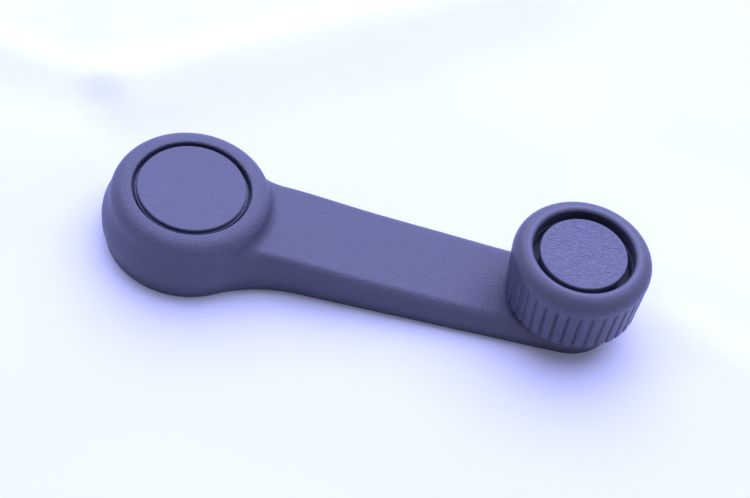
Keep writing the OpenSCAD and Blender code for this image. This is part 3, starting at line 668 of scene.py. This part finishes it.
def run_tree(piece, tree, values):
    """Runs a geometry nodes tree on a piece and keeps the result as its plain mesh."""
    modifier = piece.modifiers.new("Nodes", "NODES")
    modifier.node_group = tree
    names = {item.name: item.identifier for item in tree.interface.items_tree if item.in_out == "INPUT"}
    for key, value in values.items():
        modifier[names[key]] = value
    settle(piece, modifier)


def settle(piece, modifier):
    """Keeps what a modifier makes of a piece as its plain mesh, and takes the modifier off."""
    graph = bpy.context.evaluated_depsgraph_get()
    result = bpy.data.meshes.new_from_object(piece.evaluated_get(graph), depsgraph=graph)
    piece.modifiers.remove(modifier)
    piece.data = result


def cut_away(piece, points, faces):
    """Cuts a closed body, given in millimetres, out of a piece."""
    cutter = mesh_piece("Cutter", points, faces)
    modifier = piece.modifiers.new("Cut", "BOOLEAN")
    modifier.operation = "DIFFERENCE"
    modifier.solver = "EXACT"
    modifier.object = cutter
    settle(piece, modifier)
    bpy.data.objects.remove(cutter)


def leg_slots(turn, low, high):
    """Two opposite blocks that leave room for two of the knob cap's legs."""
    inner, outer, half = 8.55, 9.95, 3.0
    along, across = math.cos(turn), math.sin(turn)
    points, faces = [], []
    corners = ((0, 1, 3, 2), (4, 6, 7, 5), (0, 4, 5, 1), (2, 3, 7, 6), (0, 2, 6, 4), (1, 5, 7, 3))
    for side in (1, -1):
        first = len(points)
        for x in (inner, outer):
            for y in (-half, half):
                for h in (low, high):
                    u, v = side * x, side * y
                    points.append((KNOB_X + u * along - v * across, u * across + v * along, h))
        for face in corners:
            faces.append([first + i for i in face])
    return points, faces


class CRANK_OT_knob(bpy.types.Operator):
    """Build the knob from one rib's sector repeated round its axis"""

    bl_idname = "crank.knob"
    bl_label = "Knob"

    def execute(self, context):
        k = context.scene.crank_knob
        points, faces = knob_sector(k)
        piece = mesh_piece("Knob_Body", points, faces)
        material = smooth_plastic()
        centre = (KNOB_X * MM, 0.0, 0.0)
        run_tree(piece, ring_tree(material), {"Count": k.ribs, "Centre": centre, "Weld Distance": 0.02 * MM})
        slot_low, slot_high = KNOB_TOP - 10.8, KNOB_TOP - 8.2
        for turn in (45, 135):
            cut_away(piece, *leg_slots(math.radians(turn), slot_low, slot_high))
        finish_mesh(piece, 40.0)
        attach(piece, "knob")
        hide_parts("knob_shell")
        return {"FINISHED"}


def finish_mesh(piece, sharp):
    """Welds doubles, turns the faces outwards and marks the sharp edges."""
    same_place = 0.001
    work = bmesh.new()
    work.from_mesh(piece.data)
    bmesh.ops.remove_doubles(work, verts=work.verts, dist=same_place * MM)
    bmesh.ops.recalc_face_normals(work, faces=work.faces)
    work.to_mesh(piece.data)
    work.free()
    piece.data.polygons.foreach_set("use_smooth", np.ones(len(piece.data.polygons), dtype=bool))
    piece.data.set_sharp_from_angle(angle=math.radians(sharp))


# Materials


# Sockets of a Mix node that mixes colours. They share their names with the sockets for numbers.
MIX_A = 6
MIX_B = 7
MIX_RESULT = 2
# Most of a noise lies between these two values, which are spread to a pattern's whole range
NOISE_RANGE = {"From Min": 0.3, "From Max": 0.7}
# For a range that falls from 1 to 0
FALLING = {"To Min": 1.0, "To Max": 0.0}


def add(tree, kind, settings=None, links=None):
    """Adds a node. A link's value is another node's socket, or a plain value for the input."""
    node = tree.nodes.new(kind)
    for key, value in (settings or {}).items():
        setattr(node, key, value)
    for key, value in (links or {}).items():
        if isinstance(value, bpy.types.NodeSocket):
            tree.links.new(value, node.inputs[key])
        else:
            node.inputs[key].default_value = value
    return node


def new_material(name):
    """An empty material, its tree, and the place of each point on the piece."""
    material = bpy.data.materials.new(name)
    material.use_nodes = True
    tree = material.node_tree
    tree.nodes.clear()
    return material, tree, add(tree, "ShaderNodeTexCoord").outputs["Object"]


def tinted(tree, base, low, high, mask):
    """A colour that moves between two shades of its base along a mask."""
    dark = tuple(c * low for c in base) + (1.0,)
    light = tuple(min(c * high, 1.0) for c in base) + (1.0,)
    blend = add(tree, "ShaderNodeMix", {"data_type": "RGBA"}, {"Factor": mask, MIX_A: dark, MIX_B: light})
    return blend.outputs[MIX_RESULT]


def knob_radius(tree, place):
    """Distance from the knob's axis."""
    axis = (KNOB_X * MM, 0.0, 0.0)
    flatten = (1.0, 1.0, 0.0)
    centred = add(tree, "ShaderNodeVectorMath", {"operation": "SUBTRACT"}, {0: place, 1: axis})
    flat = add(tree, "ShaderNodeVectorMath", {"operation": "MULTIPLY"}, {0: centred.outputs[0], 1: flatten})
    return add(tree, "ShaderNodeVectorMath", {"operation": "LENGTH"}, {0: flat.outputs[0]}).outputs["Value"]


def crest_highlight_and_polish(tree, place):
    """A thin ring along the crest of the knob's rim: it is made smoother, and painted paler as a painted
    highlight.
    """
    radius = knob_radius(tree, place)
    crest = bpy.context.scene.crank_knob.crest_radius
    near, far = 0.1, 0.4
    outer = add(
        tree, "ShaderNodeMapRange", {},
        {"Value": radius, "From Min": (crest + near) * MM, "From Max": (crest + far) * MM, **FALLING},
    ).outputs[0]
    inner = add(
        tree, "ShaderNodeMapRange", {},
        {"Value": radius, "From Min": (crest - far) * MM, "From Max": (crest - near) * MM},
    ).outputs[0]
    height = add(tree, "ShaderNodeSeparateXYZ", {}, {0: place}).outputs["Z"]
    worn_from, worn_over = (KNOB_TOP - 1.0) * MM, (KNOB_TOP - 0.6) * MM
    upper = add(
        tree, "ShaderNodeMapRange", {}, {"Value": height, "From Min": worn_from, "From Max": worn_over}
    ).outputs[0]
    ring = add(tree, "ShaderNodeMath", {"operation": "MULTIPLY"}, {0: outer, 1: inner}).outputs[0]
    return add(tree, "ShaderNodeMath", {"operation": "MULTIPLY"}, {0: ring, 1: upper}).outputs[0]


def moulded(name, base, grain_mm, grain_depth, rough, pebble_mm=0.0, pebble_depth=0.0, highlight_and_polish=None):
    """Moulded plastic: fine grain with painted shade in its hollows, uneven gloss, faint cloudy colour and,
    where asked, a smoother place painted paler as a painted highlight.
    """
    material, tree, place = new_material(name)
    cloud_mm = 14
    cloud = add(
        tree, "ShaderNodeTexNoise", {},
        {"Vector": place, "Scale": 1 / (cloud_mm * MM), "Detail": 3.0, "Roughness": 0.6},
    ).outputs[0]
    grain = add(
        tree, "ShaderNodeTexNoise", {},
        {"Vector": place, "Scale": 1 / (grain_mm * MM), "Detail": 2.0, "Roughness": 0.55},
    ).outputs[0]
    height = add(tree, "ShaderNodeMapRange", {}, {"Value": grain, **NOISE_RANGE}).outputs[0]
    bump = add(
        tree, "ShaderNodeBump", {}, {"Height": height, "Distance": grain_depth * MM, "Strength": 1.0}
    ).outputs[0]
    if pebble_depth:
        cells = add(
            tree, "ShaderNodeTexVoronoi", {"feature": "SMOOTH_F1"},
            {"Vector": place, "Scale": 1 / (pebble_mm * MM), "Smoothness": 0.6},
        ).outputs[0]
        bump = add(
            tree, "ShaderNodeBump", {},
            {"Height": cells, "Distance": pebble_depth * MM, "Strength": 1.0, "Normal": bump},
        ).outputs[0]
    patches = add(tree, "ShaderNodeMapRange", {}, {"Value": cloud, **NOISE_RANGE}).outputs[0]
    cloudy = tinted(tree, base, 0.94, 1.07, patches)
    # The grain's low points are painted darker and its high points paler, following its bump: painted shade
    # in the grain's hollows
    grain_hollow_shade = tinted(tree, (0.93, 0.93, 0.93), 0.8, 1.07, height)
    shade = add(
        tree, "ShaderNodeMix", {"data_type": "RGBA", "blend_type": "MULTIPLY"},
        {"Factor": 1.0, MIX_A: cloudy, MIX_B: grain_hollow_shade},
    ).outputs[MIX_RESULT]
    uneven = 0.05
    gloss = add(
        tree, "ShaderNodeMapRange", {},
        {
            "Value": cloud, "From Min": 0.25, "From Max": 0.75,
            "To Min": rough - uneven, "To Max": rough + uneven,
        },
    ).outputs[0]
    # Painted highlight: the given ring is painted paler, and its gloss is also made smoother
    if highlight_and_polish:
        highlight_and_polish_mask = highlight_and_polish(tree, place)
        paler, smoother = 1.3, 0.14
        painted_highlight_colour = tuple(min(c * paler, 1.0) for c in base) + (1.0,)
        shade = add(
            tree, "ShaderNodeMix", {"data_type": "RGBA"}, {"Factor": highlight_and_polish_mask, MIX_A: shade, MIX_B: painted_highlight_colour}
        ).outputs[MIX_RESULT]
        gloss = add(
            tree, "ShaderNodeMapRange", {}, {"Value": highlight_and_polish_mask, "To Min": gloss, "To Max": rough - smoother}
        ).outputs[0]
    shader = add(
        tree, "ShaderNodeBsdfPrincipled", {},
        {"Base Color": shade, "Roughness": gloss, "Normal": bump, "IOR": 1.53},
    )
    add(tree, "ShaderNodeOutputMaterial", {}, {"Surface": shader.outputs[0]})
    return material


def grained_plastic():
    """ABS covers from a spark eroded mould: an even satin with a fine sparkle where light grazes."""
    found = bpy.data.materials.get("Grained_ABS")
    if found:
        return found
    base = tuple(bpy.context.scene.crank_colours.cover)
    # The real grain is about 0.2 mm wide, and is drawn coarser so that it shows
    return moulded("Grained_ABS", base, 0.5, 0.09, 0.48, 0.8, 0.06)


def fine_plastic():
    """ABS hub cap from a mould with a finer grain, so it looks flatter and a little lighter."""
    base = tuple(bpy.context.scene.crank_colours.cap)
    # This grain too is drawn coarser than the real one
    return moulded("Fine_ABS", base, 0.45, 0.1, 0.48)


def smooth_plastic():
    """Polypropylene knob from a polished mould: softer, longer highlights, a very shallow grain, and a
    smoother ring along the rim's crest that is painted paler as a painted highlight.
    """
    base = tuple(bpy.context.scene.crank_colours.knob)
    return moulded("Smooth_Polypropylene", base, 0.7, 0.015, 0.38, highlight_and_polish=crest_highlight_and_polish)


def leather_plastic():
    """Knob cap from an etched mould: fine wrinkled leather grain inside a smooth margin, with painted shade
    in its creases and a painted highlight on its crowns.
    """
    material, tree, place = new_material("Leather_Grain_ABS")
    base = tuple(bpy.context.scene.crank_colours.knob_cap)
    # A smooth margin runs round the grain
    grain_edge, margin_edge = (KNOB_CAP_RADIUS - 1.0) * MM, (KNOB_CAP_RADIUS - 0.6) * MM
    radius = knob_radius(tree, place)
    grained = add(
        tree, "ShaderNodeMapRange", {},
        {"Value": radius, "From Min": grain_edge, "From Max": margin_edge, **FALLING},
    ).outputs[0]
    wander_mm, wander_far, wrinkle_mm, pore_mm = 1.4, 1.1, 0.62, 0.3
    stretch = add(tree, "ShaderNodeMapping", {}, {"Vector": place, "Scale": (0.62, 1.0, 1.0)}).outputs[0]
    wander = add(
        tree, "ShaderNodeTexNoise", {}, {"Vector": stretch, "Scale": 1 / (wander_mm * MM), "Detail": 3.0}
    ).outputs["Color"]
    shift = add(
        tree, "ShaderNodeVectorMath", {"operation": "SCALE"}, {0: wander, "Scale": wander_far * MM}
    ).outputs[0]
    moved = add(tree, "ShaderNodeVectorMath", {"operation": "ADD"}, {0: stretch, 1: shift}).outputs[0]
    cells = add(tree, "ShaderNodeTexVoronoi", {}, {"Vector": moved, "Scale": 1 / (wrinkle_mm * MM)})
    crown = add(
        tree, "ShaderNodeMapRange", {},
        {"Value": cells.outputs[0], "From Min": 0.15, "From Max": 0.75, **FALLING},
    ).outputs[0]
    pores = add(
        tree, "ShaderNodeTexNoise", {}, {"Vector": place, "Scale": 1 / (pore_mm * MM), "Detail": 2.0}
    ).outputs[0]
    crown = add(tree, "ShaderNodeMath", {"operation": "MULTIPLY"}, {0: crown, 1: grained}).outputs[0]
    wrinkle_depth, pore_depth = 0.2, 0.02
    bump = add(tree, "ShaderNodeBump", {}, {"Height": crown, "Distance": wrinkle_depth * MM, "Strength": 1.0})
    bump = add(
        tree, "ShaderNodeBump", {},
        {"Height": pores, "Distance": pore_depth * MM, "Strength": 1.0, "Normal": bump.outputs[0]},
    )
    # The creases are painted darker and the crowns paler: painted shade in the creases and a painted
    # highlight on the crowns
    shade = tinted(tree, base, 0.78, 1.12, crown)
    gloss = add(tree, "ShaderNodeMapRange", {}, {"Value": crown, "To Min": 0.46, "To Max": 0.3}).outputs[0]
    shader = add(
        tree, "ShaderNodeBsdfPrincipled", {},
        {"Base Color": shade, "Roughness": gloss, "Normal": bump.outputs[0], "IOR": 1.53},
    )
    add(tree, "ShaderNodeOutputMaterial", {}, {"Surface": shader.outputs[0]})
    return material


def metal(name, base, rough, mark_mm, mark_depth):
    """Plated or plain steel: drawn or turned marks with an uneven sheen."""
    material, tree, place = new_material(name)
    # The real marks are finer, and are drawn coarser so that they show
    stretch = add(tree, "ShaderNodeMapping", {}, {"Vector": place, "Scale": (0.15, 1.0, 1.0)}).outputs[0]
    marks = add(
        tree, "ShaderNodeTexNoise", {}, {"Vector": stretch, "Scale": 1 / (mark_mm * MM), "Detail": 3.0}
    ).outputs[0]
    cloud_mm = 6
    cloud = add(
        tree, "ShaderNodeTexNoise", {}, {"Vector": place, "Scale": 1 / (cloud_mm * MM), "Detail": 3.0}
    ).outputs[0]
    bump = add(tree, "ShaderNodeBump", {}, {"Height": marks, "Distance": mark_depth * MM, "Strength": 1.0})
    uneven = 0.08
    shade = tinted(tree, base, 0.85, 1.05, cloud)
    gloss = add(
        tree, "ShaderNodeMapRange", {},
        {"Value": cloud, **NOISE_RANGE, "To Min": rough - uneven, "To Max": rough + uneven},
    ).outputs[0]
    shader = add(
        tree, "ShaderNodeBsdfPrincipled", {},
        {"Base Color": shade, "Metallic": 1.0, "Roughness": gloss, "Normal": bump.outputs[0]},
    )
    add(tree, "ShaderNodeOutputMaterial", {}, {"Surface": shader.outputs[0]})
    return material


def nylon():
    """Natural nylon of the bush and the thrust washer: creamy, slightly see-through and waxy."""
    material, tree, place = new_material("Natural_Nylon")
    base = tuple(bpy.context.scene.crank_colours.nylon)
    cloud_mm, scatter_mm = 5, 2
    cloud = add(
        tree, "ShaderNodeTexNoise", {}, {"Vector": place, "Scale": 1 / (cloud_mm * MM), "Detail": 2.0}
    ).outputs[0]
    shade = tinted(tree, base, 0.92, 1.04, cloud)
    gloss = add(
        tree, "ShaderNodeMapRange", {},
        {"Value": cloud, **NOISE_RANGE, "To Min": 0.38, "To Max": 0.5},
    ).outputs[0]
    shader = add(
        tree, "ShaderNodeBsdfPrincipled", {},
        {
            "Base Color": shade, "Roughness": gloss,
            "Subsurface Weight": 0.15, "Subsurface Scale": scatter_mm * MM,
        },
    )
    add(tree, "ShaderNodeOutputMaterial", {}, {"Surface": shader.outputs[0]})
    return material


class CRANK_OT_finishes(bpy.types.Operator):
    """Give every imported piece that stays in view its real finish"""

    bl_idname = "crank.finishes"
    bl_label = "Finishes"

    def execute(self, context):
        c = context.scene.crank_colours
        plated = metal("Zinc_Plated_Steel", tuple(c.zinc), 0.38, 0.3, 0.01)
        plain = metal("Turned_Steel", tuple(c.steel), 0.3, 0.2, 0.008)
        waxy = nylon()
        finishes = {
            "hub_cap": fine_plastic(), "knob_cap": leather_plastic(),
            "cover_screws": plated, "steel_arm": plated, "retaining_screw": plated,
            "spring_washer": plated, "plain_washer": plated, "rivet_washer": plated,
            "spline_boss": plain, "knob_spindle": plain, "dished_washer": plain,
            "upper_thrust_washer": plain, "retaining_clip": plain,
            "lower_thrust_washer": waxy, "knob_bush": waxy,
        }
        for name, material in finishes.items():
            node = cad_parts[name]
            if not node.material_slots:
                raise RuntimeError(name + " has no material slot")
            for slot in node.material_slots:
                slot.material = material
        return {"FINISHED"}


# Stage


def pale_to_eye(tree):
    """1 for rays of the camera, of reflections and through glass, 0 for the rays that light the crank."""
    path = add(tree, "ShaderNodeLightPath").outputs
    seen = path["Is Camera Ray"]
    for other in ("Is Glossy Ray", "Is Transmission Ray"):
        seen = add(tree, "ShaderNodeMath", {"operation": "ADD"}, {0: seen, 1: path[other]}).outputs[0]
    return seen


def floor_cloth():
    """White cotton sheet, woven and matt: a soft tint that follows its folds as painted shade, a fine weave
    and very low folds.
    """
    material, tree, place = new_material("White_Cotton")
    base = tuple(bpy.context.scene.crank_colours.floor)
    # The threads of a sheet are finer than this, and are drawn coarser so that they show
    weave_mm, weave_depth, fold_mm, fold_depth = 0.8, 0.05, 90, 6
    weave = add(
        tree, "ShaderNodeTexNoise", {}, {"Vector": place, "Scale": 1 / (weave_mm * MM), "Detail": 2.0}
    ).outputs[0]
    fold = add(
        tree, "ShaderNodeTexNoise", {}, {"Vector": place, "Scale": 1 / (fold_mm * MM), "Detail": 1.0}
    ).outputs[0]
    bump = add(tree, "ShaderNodeBump", {}, {"Height": weave, "Distance": weave_depth * MM, "Strength": 0.6})
    bump = add(
        tree, "ShaderNodeBump", {},
        {"Height": fold, "Distance": fold_depth * MM, "Strength": 0.5, "Normal": bump.outputs[0]},
    )
    # The cloth is painted a little darker where the folds' bump is low and paler where it is high: painted
    # shade on the folds
    cloth = add(
        tree, "ShaderNodeBsdfDiffuse", {},
        {"Color": tinted(tree, base, 0.97, 1.03, fold), "Normal": bump.outputs[0]},
    )
    # The eye sees the cloth a little paler than it lights the crank
    paler = 0.05
    lift = add(
        tree, "ShaderNodeMath", {"operation": "MULTIPLY"}, {0: pale_to_eye(tree), 1: paler}
    ).outputs[0]
    glow = add(tree, "ShaderNodeEmission", {}, {"Color": linear("#dde2ff") + (1.0,), "Strength": lift})
    both = add(tree, "ShaderNodeAddShader", {}, {0: cloth.outputs[0], 1: glow.outputs[0]})
    add(tree, "ShaderNodeOutputMaterial", {}, {"Surface": both.outputs[0]})
    return material


# Soft folds of the cloth behind the crank, in millimetres: start, end, height, reach to front and back
FOLDS = (
    ((-34.0, 46.0), (100.0, 138.0), 2.6, 17.0, 7.0),
    ((-34.0, 46.0), (-46.0, 110.0), 1.4, 8.0, 5.0),
    ((-75.0, 56.0), (-34.0, 46.0), 1.5, 9.0, 6.0),
    ((134.0, 8.0), (165.0, -12.0), 0.9, 9.0, 6.0),
)


def cloth_height(x, y):
    """Height of the cloth's folds over the table."""
    total = np.zeros_like(x)
    for (x0, y0), (x1, y1), height, front, back in FOLDS:
        length = math.hypot(x1 - x0, y1 - y0)
        ux, uy = (x1 - x0) / length, (y1 - y0) / length
        along = (x - x0) * ux + (y - y0) * uy
        across = (y - y0) * ux - (x - x0) * uy
        reach = np.where(across < 0, front, back)
        ends = step(along, -8.0, 6.0) * (1 - step(along, length - 30.0, length + 10.0))
        total += height * ends * np.exp(-((across / reach) ** 2))
    near = step(np.hypot(x, y), 26.0, 46.0) * step(np.hypot(x - KNOB_X, y), 20.0, 34.0)
    return total * near


def lay_floor():
    """Lays the cloth, on a grid that is close round the crank and wide at the floor's edge."""
    count, half_width, even, middle_x, middle_y = 181, 1200, 0.1, 40, 30
    line = np.linspace(-1, 1, count)
    line = half_width * (even * line + (1 - even) * line**5)
    x, y = np.meshgrid(line + middle_x, line + middle_y, indexing="ij")
    # A hair's breadth keeps the cloth off the crank's foot
    gap = 0.02
    points = np.stack((x, y, cloth_height(x, y) - gap), -1).reshape(-1, 3)
    corner = (np.arange(count - 1)[:, None] * count + np.arange(count - 1)).reshape(-1)
    faces = np.stack((corner, corner + count, corner + count + 1, corner + 1), 1)
    floor = mesh_piece("Floor", points, faces, 180.0)
    floor.data.materials.append(floor_cloth())


def light_crank(s):
    """Sets a large soft lamp high behind the crank and the world round it."""
    place = Vector((0.1, 2.1, 2.85))
    target = Vector((0.05, 0.0, 0.01))
    data = bpy.data.lights.new("Key", "AREA")
    data.size = 5.6
    data.energy = s.key
    data.color = (0.5, 0.52, 1.0)
    lamp = bpy.data.objects.new("Key", data)
    lamp.location = place
    lamp.rotation_euler = (target - place).to_track_quat("-Z", "Y").to_euler()
    bpy.context.scene.collection.objects.link(lamp)

    world = bpy.data.worlds.new("Studio")
    bpy.context.scene.world = world
    world.use_nodes = True
    tree = world.node_tree
    tree.nodes.clear()
    # A bright sky from left to right behind the crank and up to the zenith, and a dim front
    dim_edge, bright_edge = -0.38, -0.17
    direction = add(tree, "ShaderNodeTexCoord").outputs["Generated"]
    to_back = add(tree, "ShaderNodeSeparateXYZ", {}, {0: direction}).outputs["Y"]
    behind = add(
        tree, "ShaderNodeMapRange", {"interpolation_type": "SMOOTHSTEP"},
        {"Value": to_back, "From Min": dim_edge, "From Max": bright_edge, "To Min": 0.0, "To Max": 1.0},
    ).outputs[0]
    front = add(tree, "ShaderNodeBackground", {}, {"Color": (1.0, 0.98, 0.82, 1.0), "Strength": s.fill})
    sky = add(tree, "ShaderNodeBackground", {}, {"Color": (0.5, 0.53, 1.0, 1.0), "Strength": s.sky})
    both = add(tree, "ShaderNodeMixShader", {}, {0: behind, 1: front.outputs[0], 2: sky.outputs[0]})
    # Past the floor's far edge, and in reflections, a plain pale backdrop shows
    backdrop = add(tree, "ShaderNodeBackground", {}, {"Color": (0.86, 0.92, 1.0, 1.0), "Strength": 1.0})
    shown = add(
        tree, "ShaderNodeMixShader", {}, {0: pale_to_eye(tree), 1: both.outputs[0], 2: backdrop.outputs[0]}
    )
    add(tree, "ShaderNodeOutputWorld", {}, {"Surface": shown.outputs[0]})


def place_camera(s):
    """Puts the camera where the photo was taken from, as found by fitting the round rims."""
    right = Vector((0.97811, 0.15165, 0.14255))
    down = Vector((0.20768, -0.75608, -0.62066))
    forward = right.cross(down)
    down = forward.cross(right)
    turn = Matrix((right, -down, -forward)).transposed()
    data = bpy.data.cameras.new("Camera")
    data.sensor_width = 36.0
    data.lens = s.focal
    data.clip_start = 0.01
    data.shift_x = -0.0011
    data.shift_y = 0.0003
    camera = bpy.data.objects.new("Camera", data)
    camera.matrix_world = Matrix.Translation((0.04212, -0.44868, 0.55359)) @ turn.to_4x4()
    bpy.context.scene.collection.objects.link(camera)
    bpy.context.scene.camera = camera


class CRANK_OT_stage(bpy.types.Operator):
    """Lay the pale floor, set the lights and put the camera at the photo's angle"""

    bl_idname = "crank.stage"
    bl_label = "Stage"

    def execute(self, context):
        s = context.scene.crank_stage
        lay_floor()
        light_crank(s)
        place_camera(s)
        context.scene.view_settings.view_transform = "Standard"
        return {"FINISHED"}


class CRANK_PT_sidebar(bpy.types.Panel):
    """Sizes, colours and the build steps"""

    bl_idname = "CRANK_PT_sidebar"
    bl_label = "Window Crank"
    bl_space_type = "VIEW_3D"
    bl_region_type = "UI"
    bl_category = "Crank"

    def draw(self, context):
        layout = self.layout
        scene = context.scene
        for group in (scene.crank_covers, scene.crank_knob, scene.crank_colours, scene.crank_stage):
            box = layout.box()
            for name in group.bl_rna.properties.keys():
                if name not in ("rna_type", "name"):
                    box.prop(group, name)
        for step_class in STEPS:
            layout.operator(step_class.bl_idname)


STEPS = (
    CRANK_OT_upper_cover,
    CRANK_OT_lower_cover,
    CRANK_OT_knob,
    CRANK_OT_finishes,
    CRANK_OT_stage,
)
GROUPS = (CoverSizes, KnobSizes, CrankColours, StageSettings)


def register():
    """Registers the classes and gives the scene their sizes and colours."""
    for item in GROUPS + STEPS + (CRANK_PT_sidebar,):
        bpy.utils.register_class(item)
    bpy.types.Scene.crank_covers = bpy.props.PointerProperty(type=CoverSizes)
    bpy.types.Scene.crank_knob = bpy.props.PointerProperty(type=KnobSizes)
    bpy.types.Scene.crank_colours = bpy.props.PointerProperty(type=CrankColours)
    bpy.types.Scene.crank_stage = bpy.props.PointerProperty(type=StageSettings)


def unregister():
    """Takes the sizes, the colours and the classes away again."""
    for name in ("crank_covers", "crank_knob", "crank_colours", "crank_stage"):
        delattr(bpy.types.Scene, name)
    for item in reversed(GROUPS + STEPS + (CRANK_PT_sidebar,)):
        bpy.utils.unregister_class(item)


def main():
    """Builds every piece and the stage."""
    register()
    bpy.ops.crank.upper_cover()
    bpy.ops.crank.lower_cover()
    bpy.ops.crank.knob()
    bpy.ops.crank.finishes()
    bpy.ops.crank.stage()


if __name__ == "__main__":
    main()
